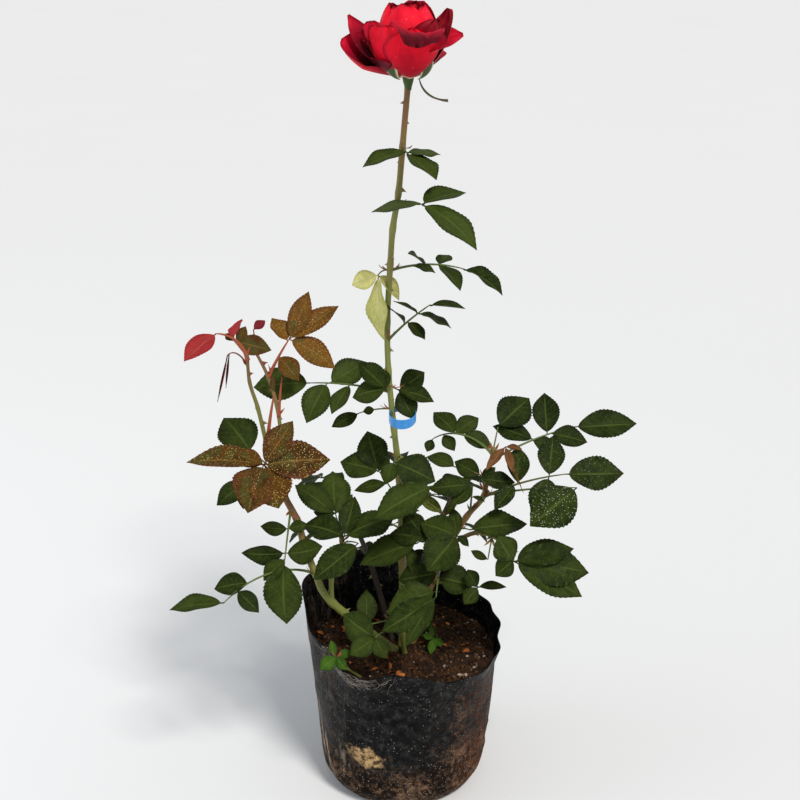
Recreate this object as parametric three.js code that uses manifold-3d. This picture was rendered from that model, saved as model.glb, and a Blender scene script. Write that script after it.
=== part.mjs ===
// A young rose bush in a black polythene grow bag: bag, soil, canes, one open bloom and its leaves.
// Millimetres, +Z up, +X to the right, -Y towards the front. The origin is the centre of the
// flat underside of the bag.

import * as THREE from 'three';
import { mergeVertices } from 'three/addons/utils/BufferGeometryUtils.js';
import Module from 'manifold-3d';

// ---- driving sizes -------------------------------------------------------------------------

const TAU = Math.PI * 2;
const GAP = 0.3;

const BAG_WALL = 2;
const BAG_FLOOR = 2.5;
const BAG_SEGMENTS = 22;
// [share of the wall's height, outer radius]: rounded foot, slow flare, turned-out mouth
const BAG_PROFILE = [
  [0, 56], [0.03, 64.5], [0.12, 71.5], [0.35, 74], [0.62, 76], [0.84, 79], [1, 84],
];
const RIM_HEIGHT = 153;
const RIM_DROP_TO_RIGHT = 17.5;
const RIM_RISE_TO_BACK = 9;
const RIM_CRUMPLE = 2;
const CREASE_DEPTH = 1.2;

const SOIL_TOP = 120;
const SOIL_ROUGHNESS = 2;
const FOOT = 118;

const CANE_SIDES = 5;
const STALK_SIDES = 3;
const STALK_RADIUS = 1.6;
const LEAF_THICKNESS = 3.2;
const SMALLEST_PAD = 26;

const BLOOM_HEIGHT = 57;
const BLOOM_RADIUS = 42;
const BLOOM_LOBES = 5;
const HIP_HEIGHT = 13;
const HIP_RADIUS = 7.5;

const BAND_RADIUS = 11;
const BAND_HEIGHT = 10;
const BAND_WALL = 1;
const BAND_OFFSET = [8, -5];
const BAND_LEVEL = 0.45;
const BAND_SEGMENTS = 12;
const BAND_TILT = 18;

// ---- the plant's own growth ----------------------------------------------------------------

// Each cane: where it starts (a point, or [cane, share of its length]), its foot and tip radius,
// and its internodes as [length, heading, rise]. Headings turn from +X towards +Y, in degrees.
const CANES = {
  flower_cane: {
    from: [0, 0, FOOT], thick: [3.4, 2.3],
    grows: [[80, 90, 88], [75, -160, 88], [45, -155, 84], [50, 180, 85], [42, 180, 89],
      [45, 0, 87], [28, 0, 86], [28, 0, 81], [34, 0, 85], [48, 0, 85]],
  },
  left_cane: {
    from: [-6, -8, FOOT], thick: [3.6, 2.6],
    grows: [[80, -160, 46], [28, 165, 61], [24, 140, 61], [22, 140, 70], [24, 155, 60],
      [22, 150, 65]],
  },
  bronze_shoot_a: {
    from: ['left_cane', 1], thick: [2, 1.2],
    grows: [[30, -135, 76], [30, -135, 77], [26, -120, 69], [26, -90, 72]],
  },
  bronze_shoot_b: {
    from: ['left_cane', 0.9], thick: [2, 1.2],
    grows: [[43, 95, 73], [30, 115, 73], [24, 145, 70], [23, 170, 65]],
  },
  left_side_shoot: {
    from: ['left_cane', 0.4], thick: [2.2, 1.4],
    grows: [[20, 90, 74], [15, 60, 68], [20, 0, 70]],
  },
  right_cane: {
    from: [8, 4, FOOT], thick: [3.5, 1.6],
    grows: [[42, 20, 73], [50, 5, 69], [35, -5, 63], [24, -15, 55], [21, 0, 80], [24, 0, 79]],
  },
  right_low_shoot: {
    from: ['right_cane', 0.5], thick: [2.1, 1.3],
    grows: [[43, -55, 35], [27, -50, 8], [19, -50, -10]],
  },
  front_shoot: {
    from: [2, -12, FOOT], thick: [2.3, 1.4],
    grows: [[45, -105, 65], [28, -115, 45]],
  },
  back_cane: {
    from: [0, 12, FOOT], thick: [3.4, 1.7],
    grows: [[80, 85, 70], [40, 80, 62], [22, 115, 60]],
  },
  back_left_cane: {
    from: [-8, 10, FOOT], thick: [3.2, 1.6],
    grows: [[72, 125, 60], [42, 130, 50], [26, 140, 45]],
  },
  back_right_cane: {
    from: [12, 14, FOOT], thick: [3.2, 1.6],
    grows: [[68, 75, 66], [42, 50, 52], [25, 55, 45]],
  },
};

const EVEN_LEAFLET_WIDTH = 0.68;

// Leaflets of an even leaf that hangs straight out from its stalk: side pairs, then the end one.
// A leaflet is [share of the stalk, clock angle on the leaf's face, length, width, twist], in
// degrees and millimetres; 0 on the clock is level to the right as the face is seen, 90 is
// straight up it.
function evenLeaflets(count, length) {
  const pairs = (count - 1) / 2;
  const leaflets = [];
  const add = (share, clock, size, twist) => {
    leaflets.push([share, clock, size, size * EVEN_LEAFLET_WIDTH, twist]);
  };
  for (let behind = pairs; behind > 0; behind -= 1) {
    const shorter = length * (1 - 0.12 * behind);
    add(1 - 0.33 * behind, -152, shorter, 10);
    add(1 - 0.33 * behind, -28, shorter, -10);
  }
  add(1, -90, length, 0);
  return leaflets;
}

// Each leaf: its cane and the share along it, its stalk as [heading, rise, droop, length], how far
// its face leans from level, which way it leans (to the front unless it says), and its leaflets.
const LEAVES = {
  top_front: {
    on: ['flower_cane', 0.9], stalk: [-75, 0, 20, 13], lean: 25,
    leaflets: [[0.8, -160, 35, 22, -10], [0.9, 10, 26, 18, 15], [1, -55, 36, 25, 20]],
  },
  upper_right: {
    on: ['flower_cane', 0.81], stalk: [-65, 20, 20, 44], lean: 25,
    leaflets: [[0.95, 180, 37, 26, -20], [1, 37, 40, 27, 10], [1, -36, 56, 31, 15]],
  },
  middle_right: {
    on: ['flower_cane', 0.7], stalk: [25, 10, 30, 65], lean: 25,
    leaflets: [[0.45, 115, 21, 16, -50], [0.3, -15, 19, 12, 10], [0.65, 65, 21, 13, 5],
      [0.65, -55, 32, 21, 25], [1, -30, 39, 27, 20]],
  },
  yellow: {
    on: ['flower_cane', 0.7], stalk: [140, 5, 60, 14], lean: 60,
    leaflets: [[1, -160, 24, 16, 5], [1, -95, 52, 34, -65], [1, -40, 26, 16, 35]],
  },
  edge_right: {
    on: ['flower_cane', 0.58], stalk: [-45, 45, 10, 60], lean: 40,
    leaflets: [[0.5, -45, 20, 13, 20], [0.45, 120, 25, 16, -60], [0.75, 145, 23, 15, -50],
      [0.75, -15, 28, 19, 40], [1, -5, 27, 19, 40]],
  },
  long_left: {
    on: ['flower_cane', 0.49], stalk: [155, 5, 15, 73], lean: 45,
    leaflets: [[0.75, 35, 36, 24, -5], [0.78, -120, 38, 25, -5], [0.5, -120, 29, 20, -35],
      [1, 180, 49, 31, 0]],
  },
  knot_left: {
    on: ['flower_cane', 0.5], stalk: [-100, 15, 10, 14], lean: 50,
    leaflets: [[1, -175, 30, 20, -5], [1, 135, 33, 22, -15], [0.9, 105, 20, 12, 0]],
  },
  knot_right: {
    on: ['flower_cane', 0.5], stalk: [40, -25, 10, 11], lean: 50,
    leaflets: [[1, 35, 28, 20, -5], [0.8, -10, 32, 20, 25], [1, -65, 27, 18, -5]],
  },
  mid_up: {
    on: ['flower_cane', 0.28], stalk: [135, 45, 10, 35], lean: 50,
    leaflets: [[0.95, 160, 36, 27, -5], [1, 105, 37, 26, 0], [1, 50, 15, 10, 15],
      [0.6, -170, 29, 13, -20]],
  },
  low_front: {
    on: ['flower_cane', 0.37], stalk: [-99, 14, 10, 17], lean: 50,
    leaflets: [[1, -24, 37, 29, 5], [1, -112, 20, 16, -5]],
  },
  centre_front: {
    on: ['flower_cane', 0.28], stalk: [-60, 45, 20, 63], lean: 50,
    leaflets: [[1, -156, 54, 29, -15], [0.55, -125, 25, 13, -5]],
  },
  centre_low: {
    on: ['flower_cane', 0.18], stalk: [-65, 50, 20, 39], lean: 55,
    leaflets: [[1, -165, 51, 33, -35], [0.6, -85, 21, 11, 30], [1, 40, 25, 13, 0]],
  },
  young_red: {
    on: ['bronze_shoot_a', 0.96], stalk: [-145, 80, 70, 39], lean: 30,
    leaflets: [[1, -130, 33, 21, -5], [0.6, 80, 23, 14, 35]],
  },
  bronze_top: {
    on: ['bronze_shoot_b', 0.8], stalk: [15, 65, 10, 36], lean: 55,
    leaflets: [[1, 66, 44, 19, -5], [1, 36, 50, 20, 10], [1, -22, 45, 22, 10],
      [0.95, 125, 24, 19, -30], [0.55, -50, 26, 19, 10]],
  },
  rosette: {
    on: ['left_cane', 0.92], stalk: [-105, 50, 10, 51], lean: 55,
    leaflets: [[1, 170, 64, 32, -40], [1, -112, 40, 38, -10], [0.97, -70, 36, 34, 0],
      [1, 10, 53, 32, 5], [1, 58, 44, 24, 10], [1, 155, 27, 15, 0]],
  },
  behind_rosette: {
    on: ['left_cane', 1], stalk: [125, 10, 10, 38], lean: 45,
    leaflets: [[1, 122, 44, 34, -5]],
  },
  behind_low: {
    on: ['left_cane', 0.92], stalk: [135, 0, 20, 46], lean: 45,
    leaflets: [[1, -145, 32, 20, -5], [1, -100, 24, 14, -20]],
  },
  left_hanging: {
    on: ['left_cane', 0.83], stalk: [-95, -35, 10, 47], lean: 65,
    leaflets: [[0.4, 180, 24, 13, 20], [0.4, 15, 16, 11, -10], [0.85, -175, 36, 19, 30],
      [0.85, 0, 31, 21, -10], [0.95, -135, 25, 16, -10], [1, -95, 53, 33, -5]],
  },
  far_left: {
    on: ['left_cane', 0.54], stalk: [-145, 35, 70, 90], lean: 35,
    leaflets: [[0.85, -40, 25, 15, -5], [0.72, -175, 29, 21, 0], [1, -177, 46, 20, -15]],
  },
  mid_left: {
    on: ['left_side_shoot', 0.98], stalk: [-80, 40, 0, 14], lean: 50,
    leaflets: [[1, 155, 39, 26, -15], [1, 75, 37, 19, 5], [1, 30, 46, 29, 25]],
  },
  mid_left_up: {
    on: ['left_side_shoot', 1], stalk: [120, 55, 0, 22], lean: 50,
    leaflets: [[1, 140, 43, 22, -5], [1, 95, 40, 28, 5], [1, 175, 20, 11, 5], [1, 55, 24, 13, 0]],
  },
  mid_front: {
    on: ['left_side_shoot', 0.92], stalk: [-65, 35, 20, 40], lean: 55,
    leaflets: [[1, -140, 46, 25, 0]],
  },
  front_left: {
    on: ['front_shoot', 0.47], stalk: [-115, 35, 30, 52], lean: 60,
    leaflets: [[1, 150, 33, 25, 10], [1, -145, 25, 18, 0], [1, -65, 20, 14, 0]],
  },
  front_mid: {
    on: ['right_cane', 0.41], stalk: [-95, 20, 30, 75], lean: 55,
    leaflets: [[0.5, -170, 36, 24, 5], [0.9, -166, 44, 28, -14], [0.6, -14, 30, 27, 15],
      [1, -146, 52, 24, 12], [1, -127, 46, 18, -25]],
  },
  right_top: {
    on: ['right_cane', 0.97], stalk: [145, 40, 80, 64], lean: 45,
    leaflets: [[0.6, 125, 28, 19, 0], [0.62, 38, 27, 18, -5], [0.5, -22, 27, 18, 10],
      [0.8, -60, 17, 12, -5], [1, -115, 12, 9, 0]],
  },
  right_inner: {
    on: ['right_cane', 0.68], stalk: [-90, 65, 20, 43], lean: 50,
    leaflets: [[1, 180, 36, 19, -10], [1, -135, 25, 13, -5], [0.5, -15, 12, 7, 40]],
  },
  right_second: {
    on: ['right_cane', 0.77], stalk: [-40, 36, 15, 90], lean: 45,
    leaflets: [[0.82, 82, 37, 22, 0], [0.82, -105, 38, 26, 0], [0.45, 85, 34, 21, 0],
      [0.42, -130, 27, 17, -10], [0.3, 150, 18, 12, -20], [1, 0, 46, 29, 0]],
  },
  right_speckled: {
    on: ['right_cane', 0.78], stalk: [-40, 25, 10, 95], lean: 45,
    leaflets: [[1, -140, 48, 35, 0]],
  },
  right_far: {
    on: ['right_cane', 0.94], stalk: [20, 25, 20, 78], lean: 50,
    leaflets: [[0.52, 156, 37, 18, -10], [0.68, 92, 40, 24, 0], [0.72, -10, 32, 20, 5],
      [0.5, -18, 22, 15, 10], [1, 2, 54, 28, 5]],
  },
  right_behind: {
    on: ['right_cane', 0.97], stalk: [74, 45, 10, 26], lean: 45,
    leaflets: [[1, 46, 41, 30, 0]],
  },
  right_under: {
    on: ['right_cane', 0.58], stalk: [-80, 30, 10, 44], lean: 45,
    leaflets: [[1, 9, 49, 30, 25]],
  },
  centre_right: {
    on: ['right_cane', 0.48], stalk: [-81, 43, 10, 48], lean: 50,
    leaflets: [[1, 153, 33, 24, 5], [1, -131, 38, 34, -5], [1, -34, 13, 8, 10], [1, 99, 25, 13, 5]],
  },
  big_folded: {
    on: ['right_low_shoot', 0.98], stalk: [-95, 4, 10, 19], lean: 50,
    leaflets: [[1, -3, 61, 34, 0], [1, -24, 60, 28, 5], [1, 20, 52, 26, 25], [1, 125, 24, 21, 5],
      [0.9, -142, 19, 17, 0]],
  },
  rear_a: {
    on: ['back_cane', 1], stalk: [95, 25, 45, 46], lean: 20, facing: 95,
    leaflets: evenLeaflets(5, 33),
  },
  rear_b: {
    on: ['back_cane', 0.8], stalk: [55, 15, 40, 48], lean: 20, facing: 55,
    leaflets: evenLeaflets(5, 31),
  },
  rear_c: {
    on: ['back_cane', 0.65], stalk: [135, 15, 40, 48], lean: 25, facing: 135,
    leaflets: evenLeaflets(5, 32),
  },
  rear_d: {
    on: ['back_cane', 0.45], stalk: [85, 0, 30, 55], lean: 30, facing: 85,
    leaflets: evenLeaflets(5, 32),
  },
  rear_e: {
    on: ['back_left_cane', 1], stalk: [115, 20, 40, 42], lean: 25, facing: 115,
    leaflets: evenLeaflets(5, 31),
  },
  rear_f: {
    on: ['back_left_cane', 0.75], stalk: [160, 10, 40, 42], lean: 30, facing: 160,
    leaflets: evenLeaflets(3, 32),
  },
  rear_g: {
    on: ['back_left_cane', 0.55], stalk: [110, -5, 30, 50], lean: 30, facing: 110,
    leaflets: evenLeaflets(5, 30),
  },
  rear_h: {
    on: ['back_right_cane', 1], stalk: [70, 15, 40, 42], lean: 25, facing: 70,
    leaflets: evenLeaflets(5, 31),
  },
  rear_i: {
    on: ['back_right_cane', 0.75], stalk: [25, 5, 40, 40], lean: 30, facing: 25,
    leaflets: evenLeaflets(3, 32),
  },
  rear_j: {
    on: ['back_right_cane', 0.5], stalk: [75, -5, 30, 50], lean: 30, facing: 75,
    leaflets: evenLeaflets(5, 30),
  },
};

// ---- helpers -------------------------------------------------------------------------------

const wasm = await Module();
wasm.setup();

function direction(heading, rise) {
  const turn = THREE.MathUtils.degToRad(heading);
  const lift = THREE.MathUtils.degToRad(rise);
  const flat = Math.cos(lift);
  return new THREE.Vector3(Math.cos(turn) * flat, Math.sin(turn) * flat, Math.sin(lift));
}

// A closed solid from its corner points and triangles, turned outward whichever way it was wound.
function closedSolid(points, triangles) {
  let volume = 0;
  for (const [a, b, c] of triangles) {
    volume += points[a].dot(new THREE.Vector3().crossVectors(points[b], points[c]));
  }
  const wound = volume < 0 ? triangles.map(([a, b, c]) => [a, c, b]) : triangles;
  const vertProperties = new Float32Array(points.flatMap((p) => [p.x, p.y, p.z]));
  const triVerts = new Uint32Array(wound.flat());
  return new wasm.Manifold(new wasm.Mesh({ numProp: 3, vertProperties, triVerts }));
}

// A closed three.js geometry as a solid.
function solidOf(geometry) {
  geometry.deleteAttribute('normal');
  geometry.deleteAttribute('uv');
  const merged = mergeVertices(geometry, 1e-3);
  const { array } = merged.getAttribute('position');
  const corners = merged.getIndex().array;
  const points = [];
  for (let i = 0; i < array.length; i += 3) {
    points.push(new THREE.Vector3(array[i], array[i + 1], array[i + 2]));
  }
  const triangles = [];
  for (let i = 0; i < corners.length; i += 3) {
    const triangle = [corners[i], corners[i + 1], corners[i + 2]];
    if (new Set(triangle).size === 3) triangles.push(triangle);
  }
  return closedSolid(points, triangles);
}

// Rings of equal count joined in order, with the first and last ring drawn to an end point.
function loft(start, rings, end) {
  const count = rings[0].length;
  const points = [start, ...rings.flat(), end];
  const triangles = [];
  for (let i = 0; i < count; i += 1) {
    const next = (i + 1) % count;
    triangles.push([0, 1 + next, 1 + i]);
    for (let r = 0; r + 1 < rings.length; r += 1) {
      const low = 1 + r * count;
      const high = low + count;
      triangles.push([low + i, low + next, high + i]);
      triangles.push([low + next, high + next, high + i]);
    }
    const last = 1 + (rings.length - 1) * count;
    triangles.push([points.length - 1, last + i, last + next]);
  }
  return closedSolid(points, triangles);
}

// A ring of points about the vertical axis, radius and height given for each heading.
function levelRing(count, centre, radiusAt, heightAt) {
  return Array.from({ length: count }, (_, i) => {
    const turn = (i / count) * TAU;
    const radius = radiusAt(turn);
    return new THREE.Vector3(
      centre.x + radius * Math.cos(turn),
      centre.y + radius * Math.sin(turn),
      heightAt(turn),
    );
  });
}

// A tapering limb along a line of points, with flat ends.
function limb(line, sides, radiusAt) {
  let across = new THREE.Vector3(1, 0, 0);
  const rings = line.map((point, i) => {
    const ahead = line[Math.min(i + 1, line.length - 1)].clone();
    const tangent = ahead.sub(line[Math.max(i - 1, 0)]).normalize();
    across = across.clone().addScaledVector(tangent, -across.dot(tangent)).normalize();
    const beside = new THREE.Vector3().crossVectors(tangent, across);
    const radius = radiusAt(i / (line.length - 1));
    return Array.from({ length: sides }, (_, k) => {
      const turn = (k / sides) * TAU;
      return point.clone()
        .addScaledVector(across, radius * Math.cos(turn))
        .addScaledVector(beside, radius * Math.sin(turn));
    });
  });
  return loft(line[0].clone(), rings, line[line.length - 1].clone());
}

// The point a given share of the way along a line.
function pointAlong(line, share) {
  const steps = line.slice(1).map((p, i) => p.distanceTo(line[i]));
  const total = steps.reduce((sum, step) => sum + step, 0);
  let left = Math.min(Math.max(share, 0), 1) * total;
  for (let i = 0; i < steps.length; i += 1) {
    if (left <= steps[i]) return line[i].clone().lerp(line[i + 1], left / steps[i]);
    left -= steps[i];
  }
  return line[line.length - 1].clone();
}

// ---- canes ---------------------------------------------------------------------------------

const CANE_STEPS = 2;

// The smooth centre line through a cane's nodes.
function caneLine(name) {
  const { from, grows } = CANES[name];
  const start = from.length === 2
    ? pointAlong(caneLine(from[0]), from[1])
    : new THREE.Vector3(...from);
  const nodes = [start];
  for (const [length, heading, rise] of grows) {
    nodes.push(nodes[nodes.length - 1].clone().addScaledVector(direction(heading, rise), length));
  }
  const curve = new THREE.CatmullRomCurve3(nodes, false, 'catmullrom', 0.5);
  return curve.getPoints(grows.length * CANE_STEPS);
}

function caneSolid(name, grow) {
  const [foot, tip] = CANES[name].thick;
  return limb(caneLine(name), CANE_SIDES, (share) => foot + (tip - foot) * share + grow);
}

// ---- leaves --------------------------------------------------------------------------------

const STALK_STEPS = 2;

// The arching stalk of a leaf, from the middle of its cane to the joint of its end leaflet.
function stalkLine({ on, stalk }) {
  const [heading, rise, droop, length] = stalk;
  const line = [pointAlong(caneLine(on[0]), on[1])];
  for (let i = 0; i < STALK_STEPS; i += 1) {
    const step = direction(heading, rise - droop * ((i + 0.5) / STALK_STEPS));
    line.push(line[i].clone().addScaledVector(step, length / STALK_STEPS));
  }
  return line;
}

// The face a leaf turns to the light: its level axis, its up-slope axis and its normal.
function leafFace({ lean, facing = -90 }) {
  const normal = direction(facing, 90 - lean);
  const level = direction(facing + 90, 0);
  return { normal, level, upslope: new THREE.Vector3().crossVectors(normal, level) };
}

// [share of the leaflet's length, share of half its width] of an oval, pointed leaflet
const LEAFLET_OUTLINE = [[0.26, 0.92], [0.68, 0.88]];

function leafletPad(leaf, line, [share, clock, length, width, twist], grow) {
  const { normal, level, upslope } = leafFace(leaf);
  const turn = THREE.MathUtils.degToRad(clock);
  const along = level.clone()
    .multiplyScalar(Math.cos(turn))
    .addScaledVector(upslope, Math.sin(turn));
  const up = normal.clone().applyAxisAngle(along, THREE.MathUtils.degToRad(twist));
  const side = new THREE.Vector3().crossVectors(up, along);
  const base = pointAlong(line, share).addScaledVector(along, -STALK_RADIUS - grow);
  const reach = length + STALK_RADIUS + 2 * grow;
  const half = width / 2;
  const thick = LEAF_THICKNESS / 2 + grow;
  const rings = LEAFLET_OUTLINE.map(([far, wide]) => {
    const middle = base.clone().addScaledVector(along, reach * far);
    const wing = half * wide + grow;
    return [
      middle.clone().addScaledVector(side, wing),
      middle.clone().addScaledVector(up, thick),
      middle.clone().addScaledVector(side, -wing),
      middle.clone().addScaledVector(up, -thick),
    ];
  });
  return loft(base.clone(), rings, base.clone().addScaledVector(along, reach));
}

function leafSolid(leaf, grow) {
  const line = stalkLine(leaf);
  const stalk = limb(line, STALK_SIDES, () => STALK_RADIUS + grow);
  const large = leaf.leaflets.filter(([, , length]) => length >= SMALLEST_PAD);
  const pads = large.map((leaflet) => leafletPad(leaf, line, leaflet, grow));
  return wasm.Manifold.union([stalk, ...pads]);
}

// ---- bag and soil --------------------------------------------------------------------------

// Long soft creases down the bag: a few waves round it that drift as they climb.
function crease(turn, share) {
  return CREASE_DEPTH * (Math.sin(5 * turn + 4 * share) + 0.6 * Math.sin(9 * turn - 7 * share + 1));
}

function bagRadius(share) {
  const upper = BAG_PROFILE.findIndex(([at]) => at >= share);
  if (upper <= 0) return BAG_PROFILE[0][1];
  const [lowAt, lowRadius] = BAG_PROFILE[upper - 1];
  const [highAt, highRadius] = BAG_PROFILE[upper];
  return lowRadius + (highRadius - lowRadius) * ((share - lowAt) / (highAt - lowAt));
}

function rimHeight(turn) {
  return RIM_HEIGHT - RIM_DROP_TO_RIGHT * Math.cos(turn) + RIM_RISE_TO_BACK * Math.sin(turn)
    + RIM_CRUMPLE * Math.sin(7 * turn);
}

const AXIS = new THREE.Vector3(0, 0, 0);

// One ring of the bag's wall, moved in or out from the outer skin.
function bagRing(share, inset, floor = 0) {
  return levelRing(
    BAG_SEGMENTS,
    AXIS,
    (turn) => bagRadius(share) + crease(turn, share) * Math.min(1, share * 6) - inset,
    (turn) => Math.max(rimHeight(turn) * share, floor),
  );
}

function bagSolid() {
  const shares = BAG_PROFILE.map(([share]) => share);
  const outer = shares.map((share) => bagRing(share, 0));
  const inner = shares.slice().reverse().map((share) => bagRing(share, BAG_WALL, BAG_FLOOR));
  const bottom = new THREE.Vector3(0, 0, 0);
  const floor = new THREE.Vector3(0, 0, BAG_FLOOR);
  return loft(bottom, [...outer, ...inner.slice(0, -1)], floor);
}

const HEAP_SEGMENTS = 12;
const HEAP_RADIUS = 90;

// The soil: a heap with an uneven top, kept to the room inside the bag's wall.
function soilSolid() {
  const inset = BAG_WALL + GAP;
  const low = BAG_FLOOR + GAP;
  const shares = BAG_PROFILE.map(([share]) => share);
  const walls = shares.slice(1).reverse().map((share) => bagRing(share, inset, low));
  const room = loft(new THREE.Vector3(0, 0, RIM_HEIGHT), walls, new THREE.Vector3(0, 0, low));
  const lump = (turn, far) => SOIL_ROUGHNESS * far
    * (Math.sin(3 * turn + 5 * far) + 0.7 * Math.sin(5 * turn - 3 * far + 2));
  const tops = [1, 0.5].map((far) => levelRing(
    HEAP_SEGMENTS,
    AXIS,
    () => HEAP_RADIUS * far,
    (turn) => SOIL_TOP + lump(turn, far),
  ));
  const foot = levelRing(HEAP_SEGMENTS, AXIS, () => HEAP_RADIUS, () => 0);
  const heap = loft(new THREE.Vector3(0, 0, 0), [foot, ...tops], new THREE.Vector3(0, 0, SOIL_TOP));
  return heap.intersect(room);
}

// ---- flower and band -----------------------------------------------------------------------

// [share of the bloom's height, share of its radius, depth of the petal lobes]
const BLOOM_PROFILE = [
  [0.02, 0.2, 0], [0.14, 0.56, 0.05], [0.38, 0.9, 0.08], [0.6, 0.98, 0.12],
  [0.74, 0.8, 0.1], [0.88, 0.45, 0.08], [0.97, 0.16, 0],
];
const BLOOM_SEGMENTS = 15;

function bloomSolid(top) {
  const rings = BLOOM_PROFILE.map(([high, wide, lobe]) => levelRing(
    BLOOM_SEGMENTS,
    top,
    (turn) => BLOOM_RADIUS * wide * (1 + lobe * Math.cos(BLOOM_LOBES * turn + 3 * high)),
    () => top.z + HIP_HEIGHT * 0.6 + BLOOM_HEIGHT * high,
  ));
  const low = top.clone().add(new THREE.Vector3(0, 0, HIP_HEIGHT * 0.6));
  const high = top.clone().add(new THREE.Vector3(0, 0, HIP_HEIGHT * 0.6 + BLOOM_HEIGHT));
  return loft(low, rings, high);
}

// The small green urn under the petals, where the stem ends.
function hipSolid(top) {
  const profile = [[0.05, 0.45], [0.3, 0.9], [0.6, 1], [0.95, 0.8]];
  const rings = profile.map(([high, wide]) => levelRing(
    8,
    top,
    () => HIP_RADIUS * wide,
    () => top.z - HIP_HEIGHT * 0.4 + HIP_HEIGHT * high,
  ));
  const low = top.clone().add(new THREE.Vector3(0, 0, -HIP_HEIGHT * 0.4));
  const high = top.clone().add(new THREE.Vector3(0, 0, HIP_HEIGHT * 0.6));
  return loft(low, rings, high);
}

// A loose plastic loop round the flower cane, hanging open to the right.
function bandSolid() {
  const at = pointAlong(caneLine('flower_cane'), BAND_LEVEL);
  const centre = at.add(new THREE.Vector3(BAND_OFFSET[0], BAND_OFFSET[1], 0));
  const half = BAND_HEIGHT / 2;
  const inner = BAND_RADIUS - BAND_WALL;
  const section = [[inner, -half], [BAND_RADIUS, -half], [BAND_RADIUS, half], [inner, half]];
  const profile = [...section, section[0]].map(([radius, height]) => new THREE.Vector2(radius, height));
  const geometry = new THREE.LatheGeometry(profile, BAND_SEGMENTS);
  geometry.rotateX(Math.PI / 2 + THREE.MathUtils.degToRad(BAND_TILT));
  geometry.translate(centre.x, centre.y, centre.z);
  return solidOf(geometry);
}

// ---- assembly ------------------------------------------------------------------------------

const COLOURS = {
  bag: 0x17171a,
  soil: 0x4a2f20,
  cane: 0x66702f,
  bronze_cane: 0x7a4a30,
  petal: 0xa51226,
  hip: 0x4f6a2c,
  band: 0x1f7fe0,
  leaf: 0x27421f,
  bronze_leaf: 0x6b4522,
  red_leaf: 0x9c3a3a,
  yellow_leaf: 0xb9b452,
};
const ROUGHNESS = { bag: 0.45, soil: 0.95, petal: 0.6, band: 0.35, leaf: 0.5 };

const LEAF_TINT = {
  young_red: 'red_leaf',
  yellow: 'yellow_leaf',
  bronze_top: 'bronze_leaf',
  rosette: 'bronze_leaf',
};

const object = new THREE.Group();
object.name = 'rose_bush_in_grow_bag';

function addPart(name, solid, colour) {
  const { vertProperties, triVerts } = solid.getMesh();
  const geometry = new THREE.BufferGeometry();
  geometry.setAttribute('position', new THREE.BufferAttribute(vertProperties, 3));
  geometry.setIndex(new THREE.BufferAttribute(triVerts, 1));
  geometry.computeVertexNormals();
  const material = new THREE.MeshStandardMaterial({
    color: COLOURS[colour],
    roughness: ROUGHNESS[colour] ?? 0.6,
    metalness: 0,
  });
  material.name = name;
  const mesh = new THREE.Mesh(geometry, material);
  mesh.name = name;
  object.add(mesh);
}

// The largest single piece of a solid that cutting may have split.
function largestPiece(solid) {
  return solid.decompose().reduce((best, piece) => (piece.volume() > best.volume() ? piece : best));
}

// Everything already placed, grown by the gap, so that each later solid is cut clear of it.
const placed = [];

function place(name, colour, make) {
  const body = make(0);
  const clear = placed.length ? body.subtract(wasm.Manifold.union(placed)) : body;
  addPart(name, largestPiece(clear), colour);
  placed.push(make(GAP));
}

const flowerTop = pointAlong(caneLine('flower_cane'), 1);
const caneNames = Object.keys(CANES);
const leafNames = Object.keys(LEAVES);

for (const name of caneNames) {
  place(name, name.startsWith('bronze') ? 'bronze_cane' : 'cane', (grow) => caneSolid(name, grow));
}
addPart('grow_bag', bagSolid(), 'bag');
addPart('soil', soilSolid().subtract(wasm.Manifold.union(placed)), 'soil');
placed.push(bagSolid(), soilSolid().translate([0, 0, GAP]));

place('hip', 'hip', (grow) => hipSolid(flowerTop).translate([0, 0, grow]));
place('bloom', 'petal', () => bloomSolid(flowerTop.clone().add(new THREE.Vector3(0, 0, GAP))));
place('tie_band', 'band', () => bandSolid());
for (const name of leafNames) {
  place(name, LEAF_TINT[name] ?? 'leaf', (grow) => leafSolid(LEAVES[name], grow));
}

export default object;
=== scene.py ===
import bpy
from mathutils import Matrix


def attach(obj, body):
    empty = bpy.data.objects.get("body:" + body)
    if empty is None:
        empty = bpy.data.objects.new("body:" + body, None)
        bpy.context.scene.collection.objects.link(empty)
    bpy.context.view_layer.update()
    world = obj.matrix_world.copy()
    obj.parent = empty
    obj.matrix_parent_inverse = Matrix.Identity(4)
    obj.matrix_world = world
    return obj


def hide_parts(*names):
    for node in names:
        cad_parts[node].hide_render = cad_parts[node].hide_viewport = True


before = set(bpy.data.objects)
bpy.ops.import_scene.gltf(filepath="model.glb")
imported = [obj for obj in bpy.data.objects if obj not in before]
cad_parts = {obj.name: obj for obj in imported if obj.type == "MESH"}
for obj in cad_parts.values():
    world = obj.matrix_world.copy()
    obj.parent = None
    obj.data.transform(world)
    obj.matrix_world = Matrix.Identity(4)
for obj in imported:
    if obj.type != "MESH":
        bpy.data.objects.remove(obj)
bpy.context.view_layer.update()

# A young rose bush in a black polythene grow bag. Sizes are in millimetres until a mesh is made.
# Headings turn from +X towards +Y, rises are above level, both in degrees.

import math

import bpy
import numpy as np
from mathutils import Vector

MM = 0.001
TAU = 2 * math.pi
SEED = 7
rng = np.random.default_rng(SEED)

# ---- the plant's growth --------------------------------------------------------------------

SOIL_TOP = 120
FOOT = 118

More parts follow.
